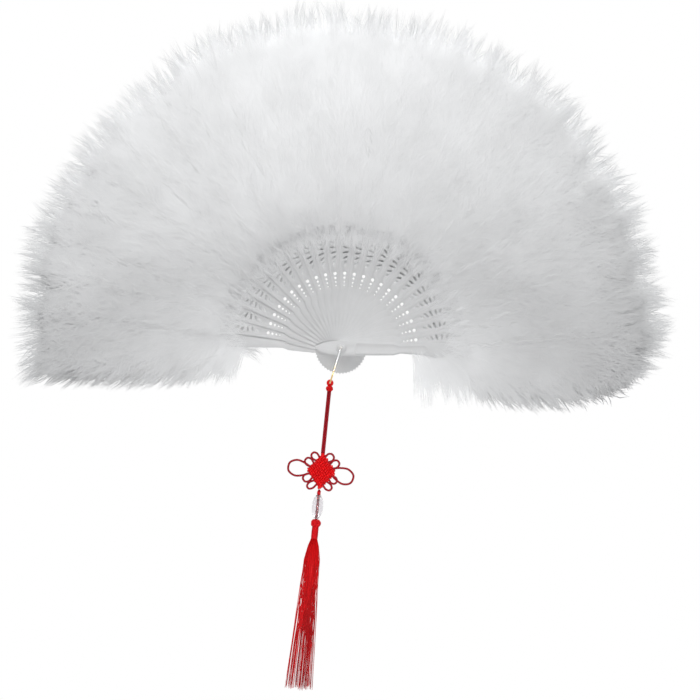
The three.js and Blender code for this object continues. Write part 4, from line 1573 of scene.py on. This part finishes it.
    def build(self, material: Material) -> None:
        """Make the plume and dress it.

        Args:
            material: The down.
        """
        rng = np.random.default_rng(self.first_seed + self.leaf.number)
        heart = self.heart()
        mesh = heart.data
        mesh.calc_loop_triangles()
        triangles = np.empty(len(mesh.loop_triangles) * 3, np.int32)
        mesh.loop_triangles.foreach_get("vertices", triangles)
        solid = points_of(mesh) / MM
        corners = solid[triangles.reshape(-1, 3)]
        crossed = np.cross(corners[:, 1] - corners[:, 0], corners[:, 2] - corners[:, 0])
        areas, normals, middles = np.linalg.norm(crossed, axis=1), unit(crossed), corners.mean(1)
        soft = unit(np.array([vertex.normal for vertex in mesh.vertices]) * self.flatten)
        facets = Facets()
        tints = np.full(len(solid), self.heart_tint)
        self.take(facets, solid, triangles.astype(np.int64), soft[triangles], tints)
        for bed, where in self.beds():
            weight = areas * where(middles, normals)
            tufts = self.share(bed.tufts)
            steps = (np.arange(tufts) + rng.uniform(0, 1, tufts)) / tufts
            chosen = np.searchsorted(np.cumsum(weight) / weight.sum(), steps).clip(0, len(areas) - 1)
            a, b = rng.uniform(0, 1, (2, len(chosen), 1))
            a, b = np.where(a + b > 1, 1 - a, a), np.where(a + b > 1, 1 - b, b)
            base = corners[chosen]
            roots = base[:, 0] + a * (base[:, 1] - base[:, 0]) + b * (base[:, 2] - base[:, 0])
            self.grow(roots, normals[chosen], self.flow(roots), bed, facets, rng)
        self.fringe(facets, rng)
        Bench.discard(heart)
        piece = facets.make(self.leaf.plume + "_down", "OFBake")
        piece.data.transform(self.leaf.place)
        turned = np.concatenate(self.soft) @ np.array(self.leaf.place.to_3x3()).T
        piece.data.normals_split_custom_set(turned.astype(np.float32))
        dress(piece, material, self.leaf.body, Slot.FEATHER, self.leaf.plume)
        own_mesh(piece)


@dataclass
class GuardPlume(Plume):
    """The down on a guard, which also hangs below it; droop is measured from the guard's centre line."""

    droop_root: float = 55.0
    droop_tip: float = 49.0
    droop_places: Pair = (110.0, 280.0)
    corner: float = 60.0
    corner_start: float = 8.0
    corner_depth: float = 55.0
    fluff_from: float = 64.0
    fluff_to: float = 132.0
    fluff_slant: Pair = (58.0, 9.0)
    heart_depth: Row = (10.0, 19.0, 23.5, 25.0, 25.0, 22.5, 12.0)
    heart_start: float = 4.0
    low_margin: float = 15.0
    low_cut: Row = (8.0, 2.0, 0.0, 0.0, 0.0, 3.0, 12.0)
    low_cut_corner: float = 46.0
    inner_edge: Row = (6.0, 14.0, 20.0, 23.0, 25.0, 27.0, 24.0)
    inward_end: float = 124.0
    turned_down: float = math.radians(72)
    turn_power: float = 0.8
    outer_span: Pair = (205.0, 285.0)
    outer_calm: float = 0.55
    lower_span: Pair = (0.3, 0.6)
    lower_facing: float = 0.35

    @property
    def hang(self) -> int:
        """Side of the bench that hangs down: below the front guard, above the back guard."""
        return -1 if self.leaf.number == 0 else 1

    def droop(self, along: Any) -> Any:
        """Depth of the hanging edge at a place along the guard."""
        return np.interp(along, self.droop_places, (self.droop_root, self.droop_tip))

    def below(self, at: Array) -> Array:
        """Share of the way down from the centre line to the hanging edge."""
        return self.hang * at[:, 1] / self.droop(at[:, 0])

    def stations(self) -> list[Station]:
        """Give the heart's outline.

        Returns:
            Place along the heart, and lower and upper edge, in millimetres.
        """
        places = np.linspace(self.heart_root + self.heart_start, self.reach - self.heart_margin,
                             len(self.heart_depth))
        cut = np.array(self.low_cut) * self.corner / self.low_cut_corner
        low = self.droop(places) - self.low_margin - cut
        edges = [sorted((self.hang * a, -self.hang * b)) for a, b in zip(low, self.inner_edge)]
        return [(float(x), float(a), float(b)) for x, (a, b) in zip(places, edges)]

    def flow(self, at: Array) -> Array:
        """Direction of the down: along the stick above, turning down towards the hanging edge.

        Args:
            at: The points.

        Returns:
            Unit vectors.
        """
        below = np.clip(self.below(at), 0, 1.1)
        outer = ramp(at[:, 0], *self.outer_span)
        turn = self.turned_down * below ** self.turn_power * (1 - self.outer_calm * outer)
        radial = super().flow(at)
        radial[:, 1] = np.where(below > 0, 0, radial[:, 1])
        bent = unit(radial) * np.cos(turn)[:, None]
        bent[:, 1] += self.hang * np.sin(turn)
        return unit(bent)

    def excess(self, at: Array) -> Array:
        """How far points lie beyond the outline, with its lower corner rounded off.

        Args:
            at: The points.

        Returns:
            Millimetres, below zero inside.
        """
        below = np.clip(self.hang * at[:, 1], 0, None)
        end = self.reach - self.corner * ((below + self.corner_start) / self.corner_depth) ** 2
        beyond = np.where(below > 0, at[:, 0] - end, super().excess(at))
        return np.maximum(beyond, self.hang * at[:, 1] - self.droop(at[:, 0]))

    def beds(self) -> list[Growth]:
        """Give the beds on the heart.

        Returns:
            The beds, each with where it grows by place and normal.
        """
        def lower(at: Array, n: Array) -> Array:
            """Rise towards the hanging edge, front and back."""
            return ramp(self.below(at), *self.lower_span) * (np.abs(n[:, 2]) > self.lower_facing)

        return [
            (replace(FACE_BED, tufts=820, short=10.0), lambda at, n: np.abs(n[:, 2])),
            (replace(INWARD_BED, tufts=50), lambda at, n: at[:, 0] < self.inward_end),
            *self.rim_beds(220, 90, 80),
            (LOWER_BED, lower),
            (LOWER_WISP_BED, lower),
        ]

    def fringe(self, facets: Facets, rng: np.random.Generator) -> None:
        """Grow the fringe over the blade, and the fluff that hangs from the guard nearer the pivot.

        Args:
            facets: What it is added to.
            rng: Seeded random numbers.
        """
        super().fringe(facets, rng)
        tufts = self.share(FLUFF_BED.tufts)
        along = rng.uniform(self.fluff_from, self.fluff_to, tufts)
        roots = np.stack([along, self.hang * rng.uniform(1, 9, tufts), rng.uniform(-7, 7, tufts)], -1)
        normals = unit(upright(roots[:, 2] + 0.01))
        slant = np.radians(rng.normal(*self.fluff_slant, tufts))
        flow = np.stack([np.cos(slant), self.hang * np.sin(slant), np.zeros(tufts)], -1)
        self.grow(roots, normals, flow, FLUFF_BED, facets, rng)


@dataclass
class Pivot:
    """Tube with turned-out rims through the stack, and a washer at each end."""

    tube: float = 1.8
    bore: float = 0.95
    rim: float = 3.3
    rim_face: float = 16.2
    tube_end: float = 17.1
    lip: float = 0.3
    washer: float = 4.6
    washer_bore: float = 2.1
    washer_face: float = 15.1
    washer_thickness: float = 0.8
    washer_edge: float = 0.2
    steps: int = 40

    def build(self, metal: Material) -> None:
        """Make the three pieces and dress them.

        Args:
            metal: Their finish.
        """
        lip, end = self.lip, self.tube_end
        half = [(self.tube, self.rim_face - 0.05), (self.rim - lip, self.rim_face),
                (self.rim, self.rim_face + lip), (self.rim - 0.1, end - lip), (self.rim - 2 * lip, end),
                (self.bore + lip, end), (self.bore, end - lip)]
        under = [(radius, -height) for radius, height in reversed(half)]
        self.spun("pivot_rivet", [*half, *under, half[0]], metal, "pivot_tube")
        low, high, soft = self.washer_face, self.washer_face + self.washer_thickness, self.washer_edge
        ring = [(self.washer_bore, low), (self.washer - soft, low), (self.washer, low + soft),
                (self.washer, high - soft), (self.washer - 2 * soft, high), (self.washer_bore + soft, high),
                (self.washer_bore, high - soft), (self.washer_bore, low)]
        for name, sign in (("front_washer", 1), ("back_washer", -1)):
            self.spun(name + "_disc", [(radius, sign * height) for radius, height in ring], metal, name)

    def spun(self, name: str, profile: list[Pair], metal: Material,
             node: str) -> None:
        """Turn a piece on the pivot's axis and dress it.

        Args:
            name: Name of the piece.
            profile: Radius and height of each point, in millimetres.
            metal: Its finish.
            node: Node that it replaces.
        """
        piece = Bench.turned(name, [(r * MM, h * MM) for r, h in profile], self.steps)
        piece.data.transform(Matrix.Rotation(math.pi / 2, 4, "X"))
        Bench.lay(piece, lambda at: np.stack([np.arctan2(at[:, 2], at[:, 0]) * 4,
                                              np.hypot(at[:, 0], at[:, 2]) + at[:, 1]], -1))
        dress(piece, metal, "front_guard", Slot.PLASTIC, node)


@dataclass
class Bail:
    """Bent wire whose ends turn in the pivot tube, with a pearly ball on each eye."""

    wire: float = 0.65
    eye: float = 1.4
    leg: float = 18.5
    drop: float = 33.0
    corner: float = 8.0
    pin_end: float = 11.1
    lean: float = 14.6

    def build(self, wire: Material, pearl: Material) -> None:
        """Make the wire and its balls, and dress them.

        Args:
            wire: Finish of the wire.
            pearl: Finish of the balls.
        """
        place = Matrix.Rotation(math.radians(self.lean), 4, "Y")
        path = [(0, -y, 0) for y in np.linspace(self.pin_end, self.leg - 0.6, 6)]
        path += [(0, -self.leg, -z) for z in np.linspace(0.6, self.drop - self.corner, 16)]
        for turn in np.linspace(0.1, math.pi / 2, 10):
            path.append((0, -self.leg + self.corner * (1 - math.cos(turn)),
                         -self.drop + self.corner * (1 - math.sin(turn))))
        half = np.array(path)
        other = half[::-1] * [1, -1, 1]
        facets = Facets()
        strand(facets, np.concatenate([half, other]), self.wire, 14)
        piece = facets.make("bail_loop", "lay")
        piece.data.transform(place)
        dress(piece, wire, "bail", Slot.WIRE, "bail")
        ring = [(self.eye * math.sin(turn), self.eye * 1.05 * math.cos(turn))
                for turn in np.linspace(0, math.pi, 17)]
        ball = Bench.turned("ball_template", [(r * MM, h * MM) for r, h in ring], 28)
        for name, side in (("front", -1), ("back", 1)):
            piece = Bench.copy(ball, f"bail_ball_{name}", Matrix.Translation((0, side * self.leg * MM, 0)))
            dress(piece, pearl, "bail", Slot.WIRE, "bail")
        Bench.discard(ball)


@dataclass(frozen=True)
class BallKnot:
    """A ball woven from one cord round a heart, in millimetres and degrees."""

    drop: float
    out: float
    ripple: float
    phase: float
    lobes: int
    rounds: int
    tilt: float
    cord: float
    steps: int
    heart: float
    heart_half: float
    heart_rings: int
    heart_sides: int

    def add(self, facets: Facets) -> None:
        """Add the ball and its heart.

        Args:
            facets: What they are added to.
        """
        turn = np.linspace(0, math.tau, self.steps)[:-1]
        high = np.radians(self.tilt) * np.sin(self.lobes * turn)
        out = self.out + self.ripple * np.cos(2 * self.lobes * turn + self.phase)
        path = winding(out * np.cos(high), self.rounds * turn, out * np.sin(high) - self.drop)
        strand(facets, path, self.cord, CORD_SIDES, ring=True)
        rise = np.linspace(-self.heart_half, self.heart_half, self.heart_rings)
        girth = np.sqrt(self.heart ** 2 - rise ** 2)
        strand(facets, upright(rise - self.drop), girth, self.heart_sides)


@dataclass
class Tassel:
    """Hang cord, woven knot, bead, head and skirt on one line under the bail, measured by drop."""

    lean: float = 3.0
    cord: float = 0.98
    spread: float = 0.92
    cord_points: int = 25
    loop: float = 1.95
    loop_cord: float = 1.25
    loop_swerve: float = 0.3
    button: float = 2.25
    button_drop: float = 5.1
    cord_end: float = 64.2
    knot_drop: float = 79.6
    knot_half: Pair = (12.0, 14.5)
    rows: int = 5
    row_cord: float = 0.95
    row_end: float = 0.53
    row_gap: float = 0.98
    weave: float = 1.45
    ear_cord: float = 0.95
    ear_size: Pair = (8.4, 6.4)
    ear_range: Pair = (0.9, 1.12)
    ear_lift: float = 0.5
    ear_tuck: Pair = (-2.4, 0.4)
    ear_places: Pair = (0.3, 0.7)
    ear_seed: int = 31
    side_ear: Pair = (18.0, 14.0)
    side_tilt: Pair = (4.0, -16.0)
    ear_outline: tuple[Pair, ...] = ((0.25, 0.85), (0.62, 1.0), (0.95, 0.5))
    collar: float = 0.95
    collar_cord: float = 0.8
    collar_half: float = 1.2
    collar_turns: int = 4
    stem_top: float = 96.4
    stem_end: float = 124.4
    stem: float = 0.6
    stem_cord: float = 0.8
    stem_pitch: float = 9.5
    stem_taper: Pair = (1.0, 0.6)
    wrap: float = 1.15
    wrap_cord: float = 0.66
    wrap_ends: Pair = (98.1, 100.6)
    wrap_turns: int = 2
    bead_drop: float = 112.0
    bead_half: float = 10.5
    bead: float = 5.0
    bead_bore: float = 1.45
    bead_lip: Pair = (0.35, 0.9)
    bead_start: float = 0.42
    bead_powers: Pair = (0.8, 0.95)
    knob_drop: float = 126.9
    knob: float = 3.75
    neck: float = 2.65
    neck_cord: float = 0.45
    neck_swell: float = 0.12
    neck_turns: int = 13
    neck_core: float = 2.6
    neck_ends: Pair = (130.5, 140.6)
    neck_core_ends: Pair = (129.9, 141.0)
    skirt_top: float = 141.3
    skirt_hem: float = 277.3
    skirt_tuck: float = 0.6
    skirt_seed: int = 58
    skirt_shares: Row = (0.0, 0.05, 0.14, 0.3, 0.5, 0.72, 0.88, 1.0)
    skirt_opening: Row = (2.7, 4.9, 7.2, 8.7, 9.6, 10.6, 11.6, 12.4)
    threads: int = 200
    thread: float = 0.21
    thread_taper: Row = (1.1, 1.0, 0.56)
    thread_range: Pair = (0.8, 1.15)
    thread_tint: Pair = (0.85, 1.0)
    locks: int = 9
    lock_reach: float = 0.94
    lock_tint: Pair = (0.52, 1.12)
    lock_span: Pair = (0.14, 0.6)
    lock_hold: Pair = (0.3, 0.9)
    free_share: float = 0.2
    short_share: float = 0.1
    short_by: Pair = (4.0, 22.0)
    core_share: float = 0.42
    core_girth: float = 0.72
    core_tint: float = 0.8

    @property
    def line(self) -> Matrix:
        """Turn from the tassel's own line to the frame, with Z up the line from the bail."""
        swing = next(joint for joint in frame["joints"] if joint["name"] == "tassel_swing")
        return Matrix.Translation(swing["pos_m"]) @ Matrix.Rotation(math.radians(self.lean), 4, "Y")

    def hung(self, facets: Facets, name: str) -> Piece:
        """Make gathered strands an object on the line.

        Args:
            facets: The strands.
            name: Name of the object.

        Returns:
            The object.
        """
        piece = facets.make(name, "lay")
        piece.data.transform(self.line)
        return piece

    def hang_cords(self, material: Material, bright: Material, knot: Piece,
                   collar: Piece) -> None:
        """Make the loop round the bail, the button knot and the two strands.

        Args:
            material: The strands' finish.
            bright: Finish of the loop and the button knot.
            knot: Knot at the end of the first strand; not used.
            collar: Binding at the end of the second; not used.
        """
        facets = Facets()
        turn = np.linspace(0, math.tau, 29)[:-1]
        ring = [self.loop * np.sin(turn), self.loop_swerve * np.sin(2 * turn), self.loop * np.cos(turn)]
        strand(facets, np.stack(ring, -1), self.loop_cord, 10, ring=True)
        dress(self.hung(facets, "hang_loop"), bright, "hanger", Slot.CORD, "hang_cord")
        facets = Facets()
        BallKnot(self.button_drop, self.button, ripple=0.28, phase=0.6, lobes=5, rounds=3, tilt=52, cord=0.82,
                 steps=150, heart=2.3, heart_half=2.1, heart_rings=9, heart_sides=12).add(facets)
        dress(self.hung(facets, "button_knot"), bright, "hanger", Slot.CORD, "hang_cord")
        for name, side, end in (("left", -1, knot), ("right", 1, collar)):
            facets = Facets()
            path = upright(-np.linspace(self.button_drop, self.cord_end, self.cord_points))
            path[:, 0] = side * self.spread
            strand(facets, path, self.cord, 10)
            piece = self.hung(facets, f"hang_cord_{name}")
            dress(piece, material, "hanger", Slot.CORD, "hang_cord")

    def knot(self, weave: Material, ears: Material) -> Piece:
        """Weave the diamond from pairs of cords that pass over and under, and lay its ears.

        Args:
            weave: Cord of the diamond.
            ears: Cord of the ears.

        Returns:
            The diamond.
        """
        half = np.array(self.knot_half)
        rise, fall = half, half * [1, -1]
        facets = Facets()
        steps = np.linspace(-self.row_end, self.row_end, 12 * self.rows)
        for run, cross, way in ((rise, fall, 1), (fall, rise, -1)):
            apart = unit(np.array([-run[1], run[0]])) * self.row_cord * self.row_gap
            out = unit(run) * self.row_cord
            for row in range(self.rows):
                middle = cross * ((row + 0.5) / self.rows - 0.5)
                height = way * (-1) ** row * self.weave * np.sin(math.pi * self.rows * (steps + 0.5))
                there = np.stack([run[0] * steps + middle[0] - apart[0], -height,
                                  run[1] * steps + middle[1] - apart[1]], -1)
                back = (there + 2 * np.array([apart[0], 0, apart[1]]))[::-1]
                bend = [(there[-1] + back[0]) / 2 + np.array([out[0], 0, out[1]])]
                path = np.concatenate([there, bend, back]) + [0, 0, -self.knot_drop]
                strand(facets, path, self.row_cord, CORD_SIDES, tint=0.92 + 0.08 * ((row + way) % 3) / 2)
        diamond = self.hung(facets, "knot_weave")
        dress(diamond, weave, "hanger", Slot.CORD, "woven_knot")
        facets = Facets()
        rng = np.random.default_rng(self.ear_seed)
        for side_x in (-1, 1):
            for side_z in (-1, 1):
                out = unit(np.array([side_x * half[1], side_z * half[0]]))
                for share in self.ear_places:
                    base = np.array([side_x * half[0] * share, side_z * half[1] * (1 - share)])
                    size = np.array(self.ear_size) * rng.uniform(*self.ear_range, 2)
                    self.ear(facets, base, out, size, rng.uniform(-self.ear_lift, self.ear_lift))
            tilt = math.radians(self.side_tilt[side_x > 0])
            out = np.array([side_x * math.cos(tilt), math.sin(tilt)])
            self.ear(facets, np.array([side_x * half[0], 0.0]), out, np.array(self.side_ear), 0.0)
        dress(self.hung(facets, "knot_ears"), ears, "hanger", Slot.CORD, "woven_knot")
        return diamond

    def ear(self, facets: Facets, base: Array, out: Array, size: Array, lift: float) -> None:
        """Lay one ear, a loop whose ends are tucked into the weave.

        Args:
            facets: What it is added to.
            base: Where it leaves the diamond.
            out: Direction outwards.
            size: Its length and width.
            lift: How far it stands off the plane of the knot.
        """
        across = np.array([-out[1], out[0]])
        outline = [(self.ear_tuck[0] / size[0], self.ear_tuck[1]), *self.ear_outline]
        outline = [(o, -s) for o, s in outline] + [(o, s) for o, s in reversed(outline)]
        flat = [base + out * o * size[0] + across * s * size[1] / 2 for o, s in outline]
        points = [(x, lift * max(0.0, o), z - self.knot_drop) for (x, z), (o, _) in zip(flat, outline)]
        strand(facets, through(points, 6), self.ear_cord, CORD_SIDES)

    def collars(self, material: Material) -> Piece:
        """Bind the cords where they enter and leave the knot.

        Args:
            material: The cord.

        Returns:
            The upper binding.
        """
        pieces = []
        turn = math.pi / 2 + np.linspace(0, self.collar_turns * math.tau, 80)
        for name, side in (("upper", 1), ("lower", -1)):
            facets = Facets()
            middle = -self.knot_drop + side * self.knot_half[1]
            height = middle + np.linspace(-self.collar_half, self.collar_half, len(turn))
            strand(facets, winding(self.collar, turn, height), self.collar_cord, CORD_SIDES)
            piece = self.hung(facets, f"knot_collar_{name}")
            pieces.append(dress(piece, material, "hanger", Slot.CORD, "woven_knot"))
        return pieces[0]

    def glass_bead(self, glass: Material) -> None:
        """Turn the bored bead and dress it.

        Args:
            glass: Its finish.
        """
        half = [(self.bead_bore, self.bead_half - 0.3)]
        half += [(self.bead_bore + lip, self.bead_half) for lip in self.bead_lip]
        for turn in np.linspace(self.bead_start, math.pi / 2, 9):
            half.append((self.bead * math.sin(turn) ** self.bead_powers[0],
                         self.bead_half * 0.98 * math.cos(turn) ** self.bead_powers[1]))
        upper = [(radius, self.bead_drop - height) for radius, height in half]
        lower = [(radius, self.bead_drop + height) for radius, height in reversed(half[:-1])]
        profile = [(radius * MM, -drop * MM) for radius, drop in (*upper, *lower, upper[0])]
        piece = Bench.turned("glass_bead", profile, 40)
        piece.data.transform(self.line)
        dress(piece, glass, "tassel", Slot.BEAD, "bead")

    def stem_and_head(self, stem: Material, cord: Material) -> None:
        """Make the twisted stem through the bead, the wrap above it, the knob and the bound neck.

        Args:
            stem: Finish of the stem.
            cord: Finish of all else.
        """
        facets = Facets()
        drops = np.linspace(self.stem_top, self.stem_end, 60)
        taper = np.interp(drops - drops[0], (0.0, self.stem_taper[0]), (self.stem_taper[1], 1.0))
        for start in (0.0, math.pi):
            turn = start + (drops - drops[0]) * math.tau / self.stem_pitch
            strand(facets, winding(self.stem * taper, turn, -drops), self.stem_cord * taper, CORD_SIDES)
        dress(self.hung(facets, "bead_stem"), stem, "tassel", Slot.CORD, "tassel_head")
        facets = Facets()
        turn = np.linspace(0, self.wrap_turns * math.tau, 60)
        drops = np.linspace(*self.wrap_ends, len(turn))
        strand(facets, winding(self.wrap, turn, -drops), self.wrap_cord, CORD_SIDES)
        BallKnot(self.knob_drop, self.knob, ripple=0.22, phase=0.0, lobes=7, rounds=4, tilt=58, cord=0.72,
                 steps=190, heart=3.4, heart_half=3.3, heart_rings=13, heart_sides=14).add(facets)
        turn = np.linspace(0, self.neck_turns * math.tau, self.neck_turns * 18)
        drops = np.linspace(*self.neck_ends, len(turn))
        out = self.neck + self.neck_swell * np.sin(np.linspace(0, math.pi, len(turn)))
        strand(facets, winding(out, turn, -drops), self.neck_cord, 6)
        strand(facets, upright(-np.linspace(*self.neck_core_ends, 6)), self.neck_core, 14)
        dress(self.hung(facets, "tassel_binding"), cord, "tassel", Slot.CORD, "tassel_head")

    def skirt(self, material: Material) -> None:
        """Hang the threads, gathered into locks that part towards the hem.

        Args:
            material: The thread.
        """
        rng = np.random.default_rng(self.skirt_seed)
        facets = Facets()
        shares, opening = np.array(self.skirt_shares), np.array(self.skirt_opening)
        lock_across = np.linspace(-self.lock_reach, self.lock_reach, self.locks)
        lock_across += rng.normal(0, 0.03, self.locks)
        lock_deep = rng.uniform(-0.8, 0.8, self.locks) * np.sqrt(np.clip(1 - lock_across ** 2, 0.05, 1))
        lock_tint = rng.uniform(*self.lock_tint, self.locks)
        girths = self.thread * np.interp(shares, (0.0, 0.35, 1.0), self.thread_taper)
        top = self.skirt_top - self.skirt_tuck
        for number in range(self.threads):
            lock = number % self.locks
            out, turn = math.sqrt(rng.uniform(0.02, 1)), rng.uniform(0, math.tau)
            free = np.array([out * math.cos(turn), out * math.sin(turn)])
            held = np.array([lock_across[lock], lock_deep[lock]]) + rng.normal(0, 0.06, 2)
            most = self.lock_hold[0] if rng.uniform() < self.free_share else self.lock_hold[1]
            gathered = (most * ramp(shares, *self.lock_span))[:, None]
            across = ((1 - gathered) * free + gathered * held) * opening[:, None]
            across += rng.normal(0, 0.12, (len(shares), 2)) * shares[:, None]
            hem = self.skirt_hem - abs(rng.normal(0, 3.2))
            hem -= rng.uniform(*self.short_by) if rng.uniform() < self.short_share else 0
            path = np.concatenate([across, -(top + (hem - top) * shares)[:, None]], 1)
            strand(facets, path, girths * rng.uniform(*self.thread_range), 3,
                   tint=lock_tint[lock] * rng.uniform(*self.thread_tint))
        within = np.linspace(0, 1, 9)
        core = self.skirt_top + within * self.core_share * (self.skirt_hem - self.skirt_top)
        girth = np.interp(within * self.core_share, shares, opening) * self.core_girth * (1 - within ** 3)
        strand(facets, upright(-core), np.maximum(girth, self.thread), 14, tint=self.core_tint)
        dress(self.hung(facets, "skirt_threads"), material, "tassel", Slot.CORD, "tassel_skirt")

    def build(self) -> None:
        """Make every piece on the line and dress it."""
        # Each cord's groove colour is painted shade between the strands of its twist.
        dark = CordFinish("Dark Red Cord", crest=(0.42, 0.012, 0.022), painted_groove_shade=(0.16, 0.004, 0.008)).material()
        bright = CordFinish("Bright Red Cord", painted_groove_shade=(0.70, 0.006, 0.008), strands=2.0, pitch=2.0,
                            relief=0.0001).material()
        knot = self.knot(bright, dark)
        collar = self.collars(bright)
        self.hang_cords(dark, bright, knot, collar)
        satin = CordFinish("Satin Red Cord", crest=(0.74, 0.010, 0.016),
                           painted_groove_shade=(0.40, 0.004, 0.008)).material()
        self.glass_bead(BeadFinish().material())
        self.stem_and_head(dark, satin)
        self.skirt(ThreadFinish().material())


@dataclass
class Studio:
    """Camera at the photograph's angle, soft lamps and a pale floor."""

    distance: float = 2.0
    frame_width: float = 0.63
    sensor: float = 36.0
    roll: float = 2.8
    shift_right: float = 8.1 * MM
    shift_up: float = -1.8 * MM
    floor_height: float = -0.36
    floor_size: float = 6.0
    floor_paint: Colour = (0.86, 0.86, 0.865)
    fade_span: Pair = (0.06, 0.3)
    fade_start: float = 0.55
    sky: float = 0.2

    def camera(self) -> None:
        """Place the camera, which looks along Y and is turned with the way the fan is held."""
        turn = math.radians(self.roll)
        right, up = Vector((math.cos(turn), 0, math.sin(turn))), Vector((-math.sin(turn), 0, math.cos(turn)))
        data = bpy.data.cameras.new("camera")
        data.sensor_width = self.sensor
        data.lens = self.sensor * self.distance / self.frame_width
        camera = bpy.data.objects.new("camera", data)
        back = Vector((0, -1, 0))
        camera.matrix_world = Matrix((right, up, back)).transposed().to_4x4()
        camera.location = right * self.shift_right + up * self.shift_up + back * self.distance
        bpy.context.collection.objects.link(camera)
        bpy.context.scene.camera = camera

    @staticmethod
    def lamp(name: str, place: Vector, target: Vector, power: float,
             sides: Pair | None = None, beam: float = 9.0) -> None:
        """Hang one soft lamp.

        Args:
            name: Its name.
            place: Where it hangs.
            target: What it points to.
            power: Its power in watts.
            sides: Width and height of its panel; without one it is a spot.
            beam: Angle of a spot's beam in degrees.
        """
        data = bpy.data.lights.new(name, "AREA" if sides else "SPOT")
        data.energy = power
        if sides:
            data.shape = "RECTANGLE"
            data.size, data.size_y = sides
        else:
            data.spot_size, data.spot_blend, data.shadow_soft_size = math.radians(beam), 0.4, 0.15
        obj = bpy.data.objects.new(name, data)
        obj.location = place
        obj.rotation_euler = (target - place).to_track_quat("-Z", "Y").to_euler()
        bpy.context.collection.objects.link(obj)

    @staticmethod
    def seen(tree: Tree) -> Socket:
        """Tell the rays that look straight, by gloss or through glass from those that light.

        Args:
            tree: Tree of the floor or the world.

        Returns:
            1 for rays that look.
        """
        path = tree.add("LightPath")
        glossy = tree.math("MAXIMUM", path.outputs["Is Glossy Ray"], path.outputs["Is Transmission Ray"])
        return tree.math("MAXIMUM", path.outputs["Is Camera Ray"], glossy)

    def world(self) -> None:
        """Light from all round, seen as plain white."""
        world = bpy.data.worlds.new("white room")
        world.use_nodes = True
        world.node_tree.nodes.clear()
        tree = Tree(world.node_tree)
        strength = tree.math("MULTIPLY_ADD", self.seen(tree), 1 - self.sky, self.sky)
        background = tree.add("Background", {0: (1, 1, 1, 1), 1: strength})
        tree.add("OutputWorld", {0: background.outputs[0]})
        bpy.context.scene.world = world

    def floor(self) -> None:
        """Lay the floor, which keeps the shadow near the object and fades to white."""
        Bench.clear()
        bpy.ops.mesh.primitive_grid_add(x_subdivisions=8, y_subdivisions=8, size=self.floor_size)
        obj = bpy.context.object
        obj.name = "floor"
        obj.location.z = self.floor_height
        Bench.settle(obj)
        material, tree = Finish.start("Pale Floor")
        place = tree.add("SeparateXYZ", {0: Finish.place(tree)})
        flat = tree.add("CombineXYZ", {0: place.outputs[0], 1: place.outputs[1]}).outputs[0]
        far = tree.add("VectorMath", {0: flat}, operation="LENGTH").outputs[1]
        near, away = self.fade_span
        fade = tree.add("MapRange", {0: far, 1: near, 2: away, 3: self.fade_start, 4: 1.0},
                        interpolation_type="SMOOTHSTEP")
        share = tree.math("MULTIPLY", fade.outputs[0], self.seen(tree))
        paint = tree.add("BsdfDiffuse", {0: (*self.floor_paint, 1)})
        glow = tree.add("Emission", {0: (1, 1, 1, 1), 1: 1.0})
        mixed = tree.add("MixShader", {0: share, 1: paint.outputs[0], 2: glow.outputs[0]})
        tree.add("OutputMaterial", {0: mixed.outputs[0]})
        obj.data.materials.append(material)

    def build(self) -> None:
        """Set up the whole studio."""
        bpy.context.scene.view_settings.view_transform = "Standard"
        self.camera()
        self.world()
        self.lamp("key lamp", Vector((-0.1, -0.5, 0.54)), Vector((0, 0, 0.3)), 4.15, (1.2, 0.4))
        self.lamp("tassel lamp", Vector((0, -2.2, -0.2)), Vector((0, 0, -0.2)), 165.0)
        self.lamp("back lamp", Vector((0.3, 1.3, 0.9)), Vector((0, 0, 0.12)), 18.0, (1.2, 1.2))
        self.floor()


def main() -> None:
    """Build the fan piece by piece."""
    logging.basicConfig(level=logging.INFO, format="%(name)s: %(message)s")
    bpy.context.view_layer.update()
    Studio().build()
    leaves = Leaf.read()
    Tassel().build()
    plastic = PlasticFinish().material()
    Sticks().build(leaves, plastic)
    Ribbon().build(leaves, RibbonFinish().material())
    Pivot().build(plastic)
    Bail().build(WireFinish().material(), PearlFinish().material())
    down, barb = DownFinish().material(), Barb()
    for leaf in leaves:
        if leaf.number == 0:
            plume: Plume = GuardPlume(leaf, barb)
        elif leaf.number == leaf.count - 1:
            plume = GuardPlume(leaf, barb, droop_root=45.0, droop_tip=59.0, corner=8.0, fluff_from=88.0)
        else:
            plume = Plume(leaf, barb)
        plume.build(down)


if __name__ == "__main__":
    main()
